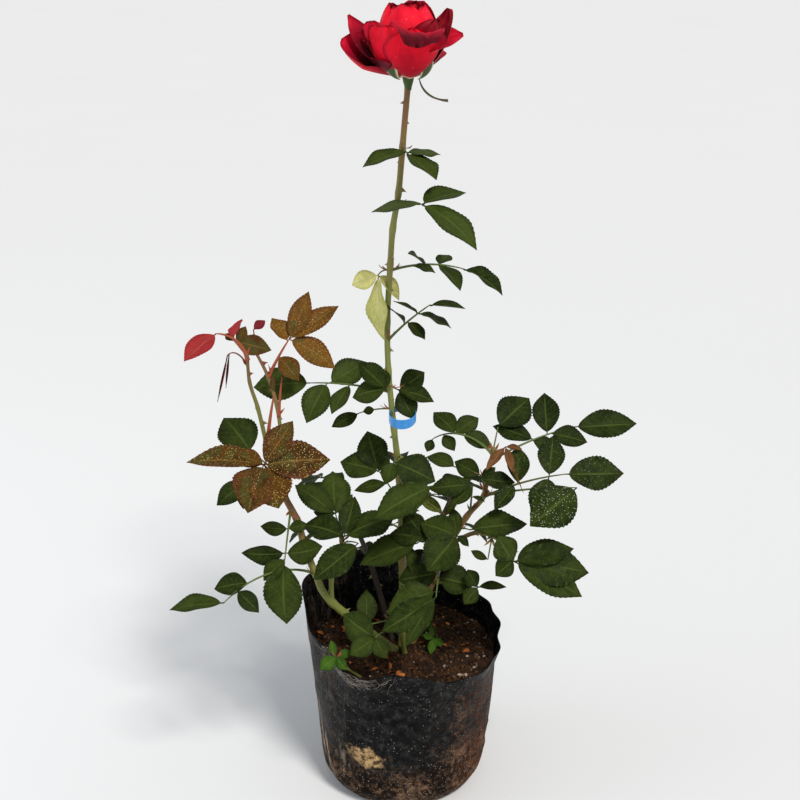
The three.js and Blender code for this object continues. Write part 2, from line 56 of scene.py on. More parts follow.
# Each cane: its start (a point, or the cane it leaves and the share of that cane's length), its
# internodes as (length, heading, rise), then its radius and how red its bark is, each at the foot,
# half way and at the tip.
CANES = {
    "flower_cane": ((0, 0, FOOT), [
        (80, 90, 88), (75, -160, 88), (45, -155, 84), (50, 180, 85), (42, 180, 89),
        (45, 0, 87), (28, 0, 86), (28, 0, 81), (34, 0, 85), (48, 0, 85),
    ], (3.4, 2.3, 2.3), (0.5, 0.1, 0.7)),
    "left_cane": ((-6, -8, FOOT), [
        (80, -160, 46), (28, 165, 61), (24, 140, 61), (22, 140, 70), (24, 155, 60), (22, 150, 65),
    ], (3.6, 3.1, 2.6), (0.0, 0.3, 1.0)),
    "bronze_shoot_a": (("left_cane", 1.0), [
        (30, -135, 76), (30, -135, 77), (26, -120, 69), (26, -90, 72),
    ], (2.0, 1.6, 1.2), (0.1, 0.35, 0.95)),
    "bronze_shoot_b": (("left_cane", 0.9), [
        (43, 95, 73), (30, 115, 73), (24, 145, 70), (23, 170, 65),
    ], (2.0, 1.6, 1.2), (0.1, 0.35, 0.95)),
    "left_side_shoot": (("left_cane", 0.4), [
        (20, 90, 74), (15, 60, 68), (20, 0, 70),
    ], (2.2, 1.8, 1.4), (0.1, 0.1, 0.3)),
    "right_cane": ((8, 4, FOOT), [
        (42, 20, 73), (50, 5, 69), (35, -5, 63), (24, -15, 55), (21, 0, 80), (24, 0, 79),
    ], (3.5, 2.8, 1.6), (0.8, 0.7, 0.5)),
    "right_low_shoot": (("right_cane", 0.5), [
        (43, -55, 35), (27, -50, 8), (19, -50, -10),
    ], (2.1, 1.7, 1.3), (0.6, 0.5, 0.4)),
    "front_shoot": ((2, -12, FOOT), [
        (45, -105, 65), (28, -115, 45),
    ], (2.3, 1.9, 1.4), (0.3, 0.2, 0.2)),
    "sprout_left": ((-34, -50, FOOT), [(22, -132, 45), (18, -142, 55)],
                    (1.2, 0.9, 0.7), (0.2, 0.3, 0.4)),
    "sprout_middle": ((27, -10, FOOT), [(10, 100, 70), (12, 110, 50)],
                      (1.1, 0.9, 0.7), (0.2, 0.2, 0.3)),
    "back_cane": ((0, 12, FOOT), [
        (80, 85, 70), (40, 80, 62), (22, 115, 60),
    ], (3.4, 2.6, 1.7), (0.5, 0.3, 0.5)),
    "back_left_cane": ((-8, 10, FOOT), [
        (72, 125, 60), (42, 130, 50), (26, 140, 45),
    ], (3.2, 2.4, 1.6), (0.4, 0.3, 0.5)),
    "back_right_cane": ((12, 14, FOOT), [
        (68, 75, 66), (42, 50, 52), (25, 55, 45),
    ], (3.2, 2.4, 1.6), (0.5, 0.3, 0.6)),
}

# Each leaf: the cane and the share of its length where it grows, then its stalk's heading, rise,
# droop and length, the lean of its face from level, its kind, and its leaflets as (share of the
# stalk, clock angle on the leaf's face, length, width, twist), or (count, length) for an even
# leaf, with the heading that its face looks to.
LEAVES = {
    "top_front": ("flower_cane", 0.9, -75, 0, 20, 13, 25, "green", [
        (0.8, -160, 35, 22, -10), (0.9, 10, 26, 18, 15), (1.0, -55, 36, 25, 20)]),
    "upper_right": ("flower_cane", 0.81, -65, 20, 20, 44, 25, "green", [
        (0.95, 180, 37, 26, -20), (1.0, 37, 40, 27, 10), (1.0, -36, 56, 31, 15)]),
    "middle_right": ("flower_cane", 0.7, 25, 10, 30, 65, 25, "green", [
        (0.45, 115, 21, 16, -50), (0.3, -15, 19, 12, 10), (0.65, 65, 21, 13, 5),
        (0.65, -55, 32, 21, 25), (1.0, -30, 39, 27, 20)]),
    "yellow": ("flower_cane", 0.7, 140, 5, 60, 14, 60, "yellow", [
        (1.0, -160, 24, 16, 5), (1.0, -95, 52, 34, -65), (1.0, -40, 26, 16, 35)]),
    "edge_right": ("flower_cane", 0.58, -45, 45, 10, 60, 40, "green", [
        (0.5, -45, 20, 13, 20), (0.45, 120, 25, 16, -60), (0.75, 145, 23, 15, -50),
        (0.75, -15, 28, 19, 40), (1.0, -5, 27, 19, 40)]),
    "long_left": ("flower_cane", 0.49, 155, 5, 15, 73, 45, "green", [
        (0.75, 35, 36, 24, -5), (0.78, -120, 38, 25, -5), (0.5, -120, 29, 20, -35),
        (1.0, 180, 49, 31, 0)]),
    "knot_left": ("flower_cane", 0.5, -100, 15, 10, 14, 50, "green", [
        (1.0, -175, 30, 20, -5), (1.0, 135, 33, 22, -15), (0.9, 105, 20, 12, 0)]),
    "knot_right": ("flower_cane", 0.5, 40, -25, 10, 11, 50, "green", [
        (1.0, 35, 28, 20, -5), (0.8, -10, 32, 20, 25), (1.0, -65, 27, 18, -5)]),
    "band_left": ("flower_cane", 0.46, 160, -5, 20, 30, 45, "green", [
        (0.5, -170, 10, 7, 20), (1.0, -150, 25, 13, -5)]),
    "mid_up": ("flower_cane", 0.28, 135, 45, 10, 35, 50, "green", [
        (0.95, 160, 36, 27, -5), (1.0, 105, 37, 26, 0), (1.0, 50, 15, 10, 15),
        (0.6, -170, 29, 13, -20)]),
    "low_front": ("flower_cane", 0.37, -99, 14, 10, 17, 50, "green", [
        (1.0, -24, 37, 29, 5), (1.0, -112, 20, 16, -5)]),
    "centre_front": ("flower_cane", 0.28, -60, 45, 20, 63, 50, "green", [
        (1.0, -156, 54, 29, -15), (0.55, -125, 25, 13, -5)]),
    "centre_dark": ("flower_cane", 0.27, -50, 21, 10, 24, 50, "green", [
        (1.0, 169, 19, 13, -5)]),
    "centre_inner": ("flower_cane", 0.22, -54, 22, 10, 32, 50, "green", [
        (1.0, 168, 29, 20, 10), (1.0, 125, 29, 18, 0)]),
    "centre_low": ("flower_cane", 0.18, -65, 50, 20, 39, 55, "green", [
        (1.0, -165, 51, 33, -35), (0.6, -85, 21, 11, 30), (1.0, 40, 25, 13, 0)]),
    "young_red": ("bronze_shoot_a", 0.96, -145, 80, 70, 39, 30, "red", [
        (1.0, -130, 33, 21, -5), (0.6, 80, 23, 14, 35)]),
    "crimson_tip": ("bronze_shoot_b", 1, -85, 45, 0, 37, 50, "crimson", [
        (1.0, 45, 13, 8, 0)]),
    "bronze_mid": ("bronze_shoot_a", 1, 145, 41, 10, 16, 50, "bronze", [
        (1.0, -14, 30, 17, 0), (1.0, 134, 10, 7, 0), (0.8, 64, 17, 9, -10)]),
    "withered": ("bronze_shoot_a", 0.9, 130, 50, 90, 32, 60, "withered", [
        (1.0, -100, 38, 2, 0), (0.9, -95, 28, 2, 0)]),
    "bronze_top": ("bronze_shoot_b", 0.8, 15, 65, 10, 36, 55, "bronze", [
        (1.0, 66, 44, 19, -5), (1.0, 36, 50, 20, 10), (1.0, -22, 45, 22, 10),
        (0.95, 125, 24, 19, -30), (0.55, -50, 26, 19, 10)]),
    "rosette": ("left_cane", 0.92, -105, 50, 10, 51, 55, "bronze", [
        (1.0, 170, 64, 32, -40), (1.0, -112, 40, 38, -10), (0.97, -70, 36, 34, 0),
        (1.0, 10, 53, 32, 5), (1.0, 58, 44, 24, 10), (1.0, 155, 27, 15, 0)]),
    "behind_rosette": ("left_cane", 1, 125, 10, 10, 38, 45, "green", [
        (1.0, 122, 44, 34, -5)]),
    "behind_low": ("left_cane", 0.92, 135, 0, 20, 46, 45, "green", [
        (1.0, -145, 32, 20, -5), (1.0, -100, 24, 14, -20)]),
    "left_hanging": ("left_cane", 0.83, -95, -35, 10, 47, 65, "green", [
        (0.4, 180, 24, 13, 20), (0.4, 15, 16, 11, -10), (0.85, -175, 36, 19, 30),
        (0.85, 0, 31, 21, -10), (0.95, -135, 25, 16, -10), (1.0, -95, 53, 33, -5)]),
    "far_left": ("left_cane", 0.54, -145, 35, 70, 90, 35, "green", [
        (0.85, -40, 25, 15, -5), (0.72, -175, 29, 21, 0), (1.0, -177, 46, 20, -15)]),
    "mid_left": ("left_side_shoot", 0.98, -80, 40, 0, 14, 50, "green", [
        (1.0, 155, 39, 26, -15), (1.0, 75, 37, 19, 5), (1.0, 30, 46, 29, 25)]),
    "mid_left_up": ("left_side_shoot", 1, 120, 55, 0, 22, 50, "green", [
        (1.0, 140, 43, 22, -5), (1.0, 95, 40, 28, 5), (1.0, 175, 20, 11, 5), (1.0, 55, 24, 13, 0)]),
    "mid_front": ("left_side_shoot", 0.92, -65, 35, 20, 40, 55, "green", [
        (1.0, -140, 46, 25, 0)]),
    "front_left": ("front_shoot", 0.47, -115, 35, 30, 52, 60, "green", [
        (1.0, 150, 33, 25, 10), (1.0, -145, 25, 18, 0), (1.0, -65, 20, 14, 0)]),
    "inner_left": ("front_shoot", 0.7, -171, -4, 10, 26, 55, "green", [
        (1.0, 88, 31, 17, -10)]),
    "front_mid": ("right_cane", 0.41, -95, 20, 30, 75, 55, "green", [
        (0.5, -170, 36, 24, 5), (0.9, -166, 44, 28, -14), (0.6, -14, 30, 27, 15),
        (1.0, -146, 52, 24, 12), (1.0, -127, 46, 18, -25)]),
    "sprout_left_leaf": ("sprout_left", 1.0, -100, 40, 0, 4, 50, "fresh", [
        (1.0, -140, 17, 12, 0), (1.0, 120, 14, 8, 30), (1.0, -55, 14, 9, -20), (0.3, 20, 13, 8, 10)]),
    "sprout_middle_leaf": ("sprout_middle", 0.5, -90, 40, 0, 6, 50, "fresh", [
        (1.0, -100, 14, 8, 20), (1.0, 165, 10, 6, 0), (1.0, -35, 11, 7, -20), (1.0, 95, 14, 6, 20)]),
    "red_spear_a": ("bronze_shoot_a", 0.22, 55, 80, 10, 44, 45, "bronze", [
        (1.0, 100, 15, 8, 50)]),
    "red_spear_b": ("bronze_shoot_b", 0.52, 60, 84, 10, 34, 45, "bronze", [
        (1.0, 80, 13, 7, 50)]),
    "right_bract": ("right_cane", 0.94, -25, 50, 0, 19, 40, "brown", [
        (1.0, -130, 27, 9, -10), (1.0, -75, 23, 8, 10), (1.0, 0, 15, 6, 0), (1.0, -74, 42, 2, 0)]),
    "right_top": ("right_cane", 0.97, 145, 40, 80, 64, 45, "green", [
        (0.6, 125, 28, 19, 0), (0.62, 38, 27, 18, -5), (0.5, -22, 27, 18, 10),
        (0.8, -60, 17, 12, -5), (1.0, -115, 12, 9, 0)]),
    "right_upper_in": ("right_cane", 0.86, 155, 20, 20, 29, 45, "green", [
        (1.0, 150, 27, 17, -15), (0.2, 150, 26, 17, 10), (0.4, -145, 13, 7, 0)]),
    "right_mid": ("right_cane", 0.8, -110, 60, 10, 20, 50, "green", [
        (1.0, -10, 28, 16, 5), (1.0, 40, 16, 9, 5)]),
    "right_inner": ("right_cane", 0.68, -90, 65, 20, 43, 50, "green", [
        (1.0, 180, 36, 19, -10), (1.0, -135, 25, 13, -5), (0.5, -15, 12, 7, 40)]),
    "right_second": ("right_cane", 0.77, -40, 36, 15, 90, 45, "green", [
        (0.82, 82, 37, 22, 0), (0.82, -105, 38, 26, 0), (0.45, 85, 34, 21, 0),
        (0.42, -130, 27, 17, -10), (0.3, 150, 18, 12, -20), (1.0, 0, 46, 29, 0)]),
    "right_speckled": ("right_cane", 0.78, -40, 25, 10, 95, 45, "green", [
        (1.0, -140, 48, 35, 0)]),
    "right_far": ("right_cane", 0.94, 20, 25, 20, 78, 50, "green", [
        (0.52, 156, 37, 18, -10), (0.68, 92, 40, 24, 0), (0.72, -10, 32, 20, 5),
        (0.5, -18, 22, 15, 10), (1.0, 2, 54, 28, 5)]),
    "right_behind": ("right_cane", 0.97, 74, 45, 10, 26, 45, "green", [
        (1.0, 46, 41, 30, 0)]),
    "right_under": ("right_cane", 0.58, -80, 30, 10, 44, 45, "green", [
        (1.0, 9, 49, 30, 25)]),
    "variegated": ("right_cane", 0.55, -115, 50, 0, 41, 50, "striped", [
        (1.0, 142, 26, 11, 5), (0.85, 58, 17, 6, 5)]),
    "centre_right": ("right_cane", 0.48, -81, 43, 10, 48, 50, "green", [
        (1.0, 153, 33, 24, 5), (1.0, -131, 38, 34, -5), (1.0, -34, 13, 8, 10),
        (1.0, 99, 25, 13, 5)]),
    "big_folded": ("right_low_shoot", 0.98, -95, 4, 10, 19, 50, "green", [
        (1.0, -3, 61, 34, 0), (1.0, -24, 60, 28, 5), (1.0, 20, 52, 26, 25), (1.0, 125, 24, 21, 5),
        (0.9, -142, 19, 17, 0)]),
    "right_low_bit": ("right_low_shoot", 0.7, -109, -47, 10, 19, 50, "green", [
        (1.0, 156, 16, 7, 10)]),
    "right_low_small": ("right_cane", 0.3, -59, 27, 10, 74, 50, "green", [
        (1.0, 7, 24, 10, 30), (1.0, -130, 18, 13, 0), (1.0, 122, 17, 13, 20)]),
}

# The leaves at the back, each facing the way its stalk heads: its cane, the share, then its
# stalk's heading, rise, droop and length, the lean of its face, and (count, length).
REAR_LEAVES = [
    ("back_cane", 1.0, 95, 25, 45, 46, 20, (5, 33)),
    ("back_cane", 0.8, 55, 15, 40, 48, 20, (5, 31)),
    ("back_cane", 0.65, 135, 15, 40, 48, 25, (5, 32)),
    ("back_cane", 0.45, 85, 0, 30, 55, 30, (5, 32)),
    ("back_left_cane", 1.0, 115, 20, 40, 42, 25, (5, 31)),
    ("back_left_cane", 0.75, 160, 10, 40, 42, 30, (3, 32)),
    ("back_left_cane", 0.55, 110, -5, 30, 50, 30, (5, 30)),
    ("back_right_cane", 1.0, 70, 15, 40, 42, 25, (5, 31)),
    ("back_right_cane", 0.75, 25, 5, 40, 40, 30, (3, 32)),
    ("back_right_cane", 0.5, 75, -5, 30, 50, 30, (5, 30)),
]
for letter, row in zip("abcdefghij", REAR_LEAVES):
    LEAVES[f"rear_{letter}"] = (*row[:7], "green", row[7], row[2])

FRONT = -90
CANE_STEPS = 14


def direction(heading, rise):
    """Unit vectors (cos h cos r, sin h cos r, sin r) of headings and rises in degrees."""
    h = np.radians(np.asarray(heading, float))
    r = np.radians(np.asarray(rise, float))
    level = np.cos(r)
    return np.stack([np.cos(h) * level, np.sin(h) * level, np.sin(r) + 0 * h], -1)


def smooth(points, steps):
    """A uniform Catmull-Rom curve through the points, with mirrored points past its two ends."""
    p = np.asarray(points, float)
    p = np.vstack([2 * p[0] - p[1], p, 2 * p[-1] - p[-2]])
    t = (np.arange(steps) / steps)[None, :, None]
    a, b, c, d = (p[i:len(p) - 3 + i, None] for i in range(4))
    curve = 0.5 * (2 * b + (c - a) * t + (2 * a - 5 * b + 4 * c - d) * t ** 2
                   + (3 * b - a - 3 * c + d) * t ** 3)
    return np.vstack([curve.reshape(-1, p.shape[1]), p[-2:-1]])


def shares(line):
    """The share of a line's length at each of its points, from 0 to 1."""
    steps = np.linalg.norm(np.diff(line, axis=0), axis=1)
    run = np.concatenate([[0], np.cumsum(steps)])
    return run / run[-1]


def at(line, share):
    """The points of a line at these shares of its length."""
    run = shares(line)
    return np.stack([np.interp(share, run, line[:, k]) for k in range(3)], -1)


def cane_line(name):
    """A cane's axis: its start, then one point for each internode, smoothed."""
    start, internodes = CANES[name][:2]
    first = at(cane_line(start[0]), start[1]) if isinstance(start[0], str) else np.array(start, float)
    lengths, headings, rises = np.array(internodes, float).T
    steps = direction(headings, rises) * lengths[:, None]
    return smooth(np.vstack([first, first + np.cumsum(steps, 0)]), CANE_STEPS)


CANE_LINES = {name: cane_line(name) for name in CANES}
STALK_STATIONS = 15


def stalk_line(leaf):
    """A leaf stalk's axis: its rise falls evenly by its droop from the cane to its end."""
    cane, share, heading, rise, droop, length = leaf[:6]
    steps = STALK_STATIONS - 1
    rises = rise - droop * (np.arange(steps) + 0.5) / steps
    run = np.cumsum(direction(heading, rises), 0) * length / steps
    first = at(CANE_LINES[cane], share)
    return np.vstack([first, first + run])


EVEN_WIDTH = 0.68


def even_leaflets(count, length):
    """Leaflets of an even leaf: pairs that shrink towards the cane, and one at the end."""
    behind = np.arange(count // 2, 0, -1)
    sides = [(1 - 0.33 * b, clock, length * (1 - 0.12 * b), twist)
             for b in behind for clock, twist in ((-152, 10), (-28, -10))]
    leaflets = sides + [(1, -90, length, 0)]
    return [(share, clock, size, EVEN_WIDTH * size, twist) for share, clock, size, twist in leaflets]


def leaflet_rows(leaf):
    """Each leaflet's root, direction, side and upward normal, its length and width ratio.

    On the leaf's face the direction is cos(clock) level + sin(clock) upslope. The face's normal
    is then turned round that direction by the twist, and side = up x direction.
    """
    lean, leaflets = leaf[6], leaf[8]
    facing = leaf[9] if len(leaf) > 9 else FRONT
    if isinstance(leaflets, tuple):
        leaflets = even_leaflets(*leaflets)
    share, clock, length, width, twist = np.array(leaflets, float).T
    normal = direction(facing, 90 - lean)
    level = direction(facing + 90, 0)
    upslope = np.cross(normal, level)
    clock, twist = np.radians(clock)[:, None], np.radians(twist)[:, None]
    along = np.cos(clock) * level + np.sin(clock) * upslope
    up = np.cos(twist) * normal + np.sin(twist) * np.cross(normal, along)
    root = at(stalk_line(leaf), share)
    return root, along, np.cross(up, along), up, length, width / length


# ---- meshes from arrays --------------------------------------------------------------------


def value_noise(points, cell, seed):
    """Smooth noise from -1 to 1: random values on a lattice of this cell, blended by 3t^2 - 2t^3."""
    grid = np.asarray(points, float) / cell
    low = np.floor(grid)
    t = grid - low
    t = t * t * (3 - 2 * t)
    total = np.zeros(grid.shape[:-1])
    for corner in np.ndindex(2, 2, 2):
        key = (low + corner) @ np.array([127.1, 311.7, 74.7]) + 19.19 * seed
        value = np.modf(np.abs(np.sin(key)) * 43758.5453)[0] * 2 - 1
        total += value * np.prod(np.where(corner, t, 1 - t), -1)
    return total


def unit(vectors):
    """The vectors at length 1."""
    return vectors / np.maximum(np.linalg.norm(vectors, axis=-1, keepdims=True), 1e-9)


def loft(rings, start, end, marks=None, sharp=()):
    """Closed skins over (count, rings, around, 3) points, each closed by a start and an end point.

    Vertex 0 is the start point, then the rings in order, then the end point. Quads join ring i to
    ring i + 1, and triangles close both ends. A corner's UV is (share of the rings, share of the
    turn). marks holds values for each skin, or for each ring of each skin; sharp lists the places
    round a ring whose edges along the skin stay sharp.
    """
    count, high, wide = rings.shape[:3]
    size = high * wide + 2
    points = np.concatenate([start[:, None], rings.reshape(count, -1, 3), end[:, None]], 1)
    index = 1 + np.arange(high * wide).reshape(high, wide)
    near, far = index[:-1], index[1:]
    quads = np.stack([near, np.roll(near, -1, 1), np.roll(far, -1, 1), far], -1).reshape(-1, 4)
    row, column = np.mgrid[0:high - 1, 0:wide]
    u = np.stack([row, row, row + 1, row + 1], -1).reshape(-1, 4) / (high - 1)
    v = np.stack([column, column + 1, column + 1, column], -1).reshape(-1, 4) / wide
    turn = np.arange(wide)
    first = np.stack([0 * turn, np.roll(index[0], -1), index[0]], -1)
    last = np.stack([0 * turn + size - 1, index[-1], np.roll(index[-1], -1)], -1)
    fan = np.stack([turn + 0.5, turn + 1, turn], -1) / wide
    fan_end = np.stack([turn + 0.5, turn, turn + 1], -1) / wide
    step = (np.arange(count) * size)[:, None, None]
    flags = np.zeros((count, size), bool)
    for place in sharp:
        flags[:, 1 + place:size - 1:wide] = True
    if sharp:
        flags[:, [0, -1]] = True
    named = {}
    for name, value in (marks or {}).items():
        value = np.asarray(value, float)
        value = value.reshape(count, -1) if value.ndim < 3 else value.reshape(count, high, wide)
        if value.ndim == 2:
            value = np.broadcast_to(value[:, :, None], (count, value.shape[1], wide))
            value = np.broadcast_to(value, (count, high, wide))
        named[name] = np.concatenate([value[:, 0, :1], value.reshape(count, -1), value[:, -1, :1]], 1)
    return {
        "points": points.reshape(-1, 3),
        "quads": (quads[None] + step).reshape(-1, 4),
        "quad_uv": np.tile(np.stack([u, v], -1), (count, 1, 1)),
        "tris": (np.vstack([first, last])[None] + step).reshape(-1, 3),
        "tri_uv": np.tile(np.stack([
            np.repeat([[0.0] * 3, [1.0] * 3], wide, 0), np.vstack([fan, fan_end])], -1), (count, 1, 1)),
        "marks": {name: value.ravel() for name, value in named.items()},
        "sharp": flags.ravel(),
    }


def join(skins):
    """Several skins as one, each one's vertex numbers moved past those before it."""
    sizes = np.cumsum([0] + [len(s["points"]) for s in skins[:-1]])
    whole = {key: np.concatenate([s[key] for s in skins])
             for key in ("points", "quad_uv", "tri_uv", "sharp")}
    for key in ("quads", "tris"):
        whole[key] = np.concatenate([s[key] + size for s, size in zip(skins, sizes)])
    names = sorted(set(n for s in skins for n in s["marks"]))
    whole["marks"] = {n: np.concatenate([
        s["marks"].get(n, np.zeros(len(s["points"]))) for s in skins]) for n in names}
    return whole


def make_piece(name, skins, material, nodes=()):
    """One mesh object from skins. It rides on the root body and stands for these CAD nodes."""
    skin = join(skins)
    mesh = bpy.data.meshes.new(name)
    mesh.vertices.add(len(skin["points"]))
    mesh.vertices.foreach_set("co", (skin["points"] * MM).astype(np.float32).ravel())
    corners = np.concatenate([skin["quads"].ravel(), skin["tris"].ravel()])
    starts = np.concatenate([
        np.arange(len(skin["quads"])) * 4,
        len(skin["quads"]) * 4 + np.arange(len(skin["tris"])) * 3])
    mesh.loops.add(len(corners))
    mesh.loops.foreach_set("vertex_index", corners.astype(np.int32))
    mesh.polygons.add(len(starts))
    mesh.polygons.foreach_set("loop_start", starts.astype(np.int32))
    mesh.update(calc_edges=True)
    mesh.shade_smooth()
    uv = np.concatenate([skin["quad_uv"].reshape(-1, 2), skin["tri_uv"].reshape(-1, 2)])
    mesh.uv_layers.new(name="UVMap").data.foreach_set("uv", uv.astype(np.float32).ravel())
    for mark, values in skin["marks"].items():
        layer = mesh.attributes.new(mark, "FLOAT", "POINT")
        layer.data.foreach_set("value", values.astype(np.float32))
    if skin["sharp"].any():
        ends = np.zeros(len(mesh.edges) * 2, np.int32)
        mesh.edges.foreach_get("vertices", ends)
        crisp = skin["sharp"][ends.reshape(-1, 2)].all(1)
        mesh.attributes.new("sharp_edge", "BOOLEAN", "EDGE").data.foreach_set("value", crisp)
    mesh.materials.append(material)
    mesh.validate()
    piece = bpy.data.objects.new(name, mesh)
    bpy.context.scene.collection.objects.link(piece)
    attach(piece, "root")
    if nodes:
        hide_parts(*nodes)
    return piece


def tubes(lines, radii, sides, marks=None, ridge=0.0):
    """Round tubes along (count, stations, 3) lines: centre + radius (cos t a + sin t b).

    a is square to the line and to the world axis that the line leans to least, and a x b runs
    along the line. ridge adds that share of the radius as shallow flutes.
    """
    along = unit(np.gradient(lines, axis=1))
    axis = np.eye(3)[np.argmin(np.abs(along).max(1), -1)][:, None]
    a = unit(np.cross(along, axis))
    b = np.cross(along, a)
    t = np.arange(sides) / sides * TAU
    flute = 1 + ridge * np.cos(5 * t)
    ring = (np.cos(t) * flute)[:, None] * a[:, :, None] + (np.sin(t) * flute)[:, None] * b[:, :, None]
    rings = lines[:, :, None] + radii[:, :, None, None] * ring
    start = lines[:, 0] - along[:, 0] * radii[:, :1] * 0.4
    end = lines[:, -1] + along[:, -1] * radii[:, -1:] * 0.6
    return loft(rings, start, end, marks)


# ---- leaflets ------------------------------------------------------------------------------

LEAFLET_STATIONS = 32
LEAFLET_COLUMNS = 7
STEM_SHARE = 0.06
STEM_HALF_WIDTH = 0.5
BLADE_THICKNESS = 0.35
TOOTH_DEPTH = 0.055


def leaf_skins(rows, shape, marks, teeth=TOOTH_DEPTH):
    """Leaflets as thin closed skins: a short stem, then a toothed blade.

    For share s along and v across from 1 to -1, with blade share q = (s - stem) / (1 - stem):
    half width = W sin(pi q^0.9)^(0.7 + 0.35 q), out at every second margin point by the teeth;
    height = -L bend s^2 / 2 + half width (sin(fold) |v| (1 - 0.3 |v|) + wave v^2 sin(...)), plus
    a low swell between the side veins; sideways = half width v cos(fold) + L sweep s^2.
    """
    root, along, side, up, length, ratio = rows
    stem = np.array([0.0, 0.5]) * STEM_SHARE
    s = np.concatenate([stem, np.linspace(STEM_SHARE, 0.985, LEAFLET_STATIONS - len(stem))])
    q = np.clip((s - STEM_SHARE) / (1 - STEM_SHARE), 0, 1)
    outline = np.sin(np.pi * q ** 0.9) ** (0.7 + 0.35 * q)
    v = np.linspace(1, -1, LEAFLET_COLUMNS)
    v = np.concatenate([v, -v[1:-1]])
    below = np.arange(len(v)) >= LEAFLET_COLUMNS
    s, q, outline = s[None, :, None], q[None, :, None], outline[None, :, None]
    v = v[None, None]
    size, wide = length[:, None, None], (length * ratio / 2)[:, None, None]
    bend, fold, wave, phase, sweep = (shape[k][:, None, None] for k in
                                      ("bend", "fold", "wave", "phase", "sweep"))
    tooth = (np.arange(s.shape[1]) % 2)[None, :, None] * (np.abs(v) == 1) * (q > 0.04)
    half = np.maximum(wide * outline * (1 + teeth * tooth), STEM_HALF_WIDTH * (1 - 0.5 * q))
    reach = size * (s - bend ** 2 * s ** 3 / 6) + tooth * teeth * wide * 0.8 * (1 - q)
    swell = 0.012 * size * np.cos(TAU * (7 * s - 1.6 * np.abs(v))) * np.abs(v) * (1 - np.abs(v))
    height = (-size * bend * s ** 2 / 2
              + half * np.sin(fold) * np.abs(v) * (1 - 0.3 * np.abs(v))
              + half * wave * v ** 2 * np.sin(TAU * (1.7 * s + phase) + 1.7 * (v > 0))
              + swell * (q > 0))
    stalk = (q <= 0)
    body = np.where(stalk, 2 * STEM_HALF_WIDTH, BLADE_THICKNESS) * (1 - v ** 2)
    height = height - np.where(below, body, 0) + np.where(stalk & ~below, 0.3 * (1 - v ** 2), 0)
    across = half * v * np.cos(fold) + size * sweep * s ** 2
    rings = (root[:, None, None] + reach[..., None] * along[:, None, None]
             + across[..., None] * side[:, None, None] + height[..., None] * up[:, None, None])
    middle = LEAFLET_COLUMNS // 2
    end = rings[:, -1, middle] + 0.012 * length[:, None] * along
    return loft(rings, root, end, marks, sharp=(0, LEAFLET_COLUMNS - 1))


def leaf_habit(count, fold=0.28, bend=0.35):
    """Seeded differences between leaflets: how far each bends, folds, waves and sweeps."""
    return {
        "bend": rng.normal(bend, 0.16, count),
        "fold": rng.normal(fold, 0.14, count),
        "wave": rng.uniform(0.02, 0.11, count),
        "phase": rng.uniform(0, 1, count),
        "sweep": rng.normal(0, 0.05, count),
    }


def gather(names):
    """The leaflet rows of several leaves, joined."""
    rows = [leaflet_rows(LEAVES[name]) for name in names]
    return [np.concatenate(column) for column in zip(*rows)]


def leaves_of(kind, canes):
    """Names of the leaves of one kind that grow on these canes."""
    return [n for n, leaf in LEAVES.items() if leaf[7] == kind and leaf[0] in canes]


CANE_GROUPS = {
    "flower_cane": ("flower_cane",),
    "left": ("left_cane", "left_side_shoot", "bronze_shoot_a", "bronze_shoot_b"),
    "right": ("right_cane", "right_low_shoot"),
    "front": ("front_shoot", "sprout_left", "sprout_middle"),
    "back": ("back_cane", "back_left_cane", "back_right_cane"),
}
# How light some leaves are, from 0 to 1, give or take the spread; the rest are in the middle.
# The set values are partly each leaf's own tone and partly painted light and shade: leaves on top
# lighter, leaves behind darker.
LIGHTNESS = {
    "rosette": 0.15, "bronze_top": 0.75, "upper_right": 0.85, "long_left": 0.75, "top_front": 0.65,
    "mid_left_up": 0.65, "front_left": 0.65, "big_folded": 0.4, "right_far": 0.0, "right_second": 0.15,
    "right_behind": 0.1, "right_top": 0.3, "behind_rosette": 0.25, "yellow": 0.7,
}
MIDDLE_LIGHTNESS = 0.34
LIGHTNESS_SPREAD = 0.3
# How speckled with dust and spray some leaves are, from 0 to 1; the rest get a little.
SPECKLED = {"rosette": 1.0, "bronze_top": 0.8, "right_second": 0.5, "right_speckled": 1.0}
LITTLE_SPECKLED = 0.1


def make_leaves(finishes):
    """Every leaf's blades, one piece for each kind on each group of canes."""
    for kind, finish in finishes.items():
        for group, canes in CANE_GROUPS.items():
            names = leaves_of(kind, canes)
            if not names:
                continue
            rows = gather(names)
            counts = [len(leaflet_rows(LEAVES[n])[4]) for n in names]
            speckle = np.repeat([SPECKLED.get(n, LITTLE_SPECKLED) for n in names], counts)
            speckle = speckle * rng.uniform(0.3, 1, len(speckle))
            # partly painted light and shade: each leaf's set lightness, with a random spread of tone
            light = np.repeat([LIGHTNESS.get(n, MIDDLE_LIGHTNESS) for n in names], counts)
            light = light + LIGHTNESS_SPREAD * rng.uniform(-1, 1, len(speckle))
            marks = {"tint": np.clip(light, 0, 1), "speckle": speckle}
            blades = leaf_skins(rows, leaf_habit(len(speckle)), marks)
            nodes = [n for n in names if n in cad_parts]
            make_piece(f"{kind}_leaves_{group}", [blades], finish, nodes)


# ---- stalks, canes and prickles ------------------------------------------------------------

STALK_FOOT_RADIUS = 1.0
STALK_TIP_RADIUS = 0.42
RED_STOUTNESS = 1.9
STALK_SIDES = 8


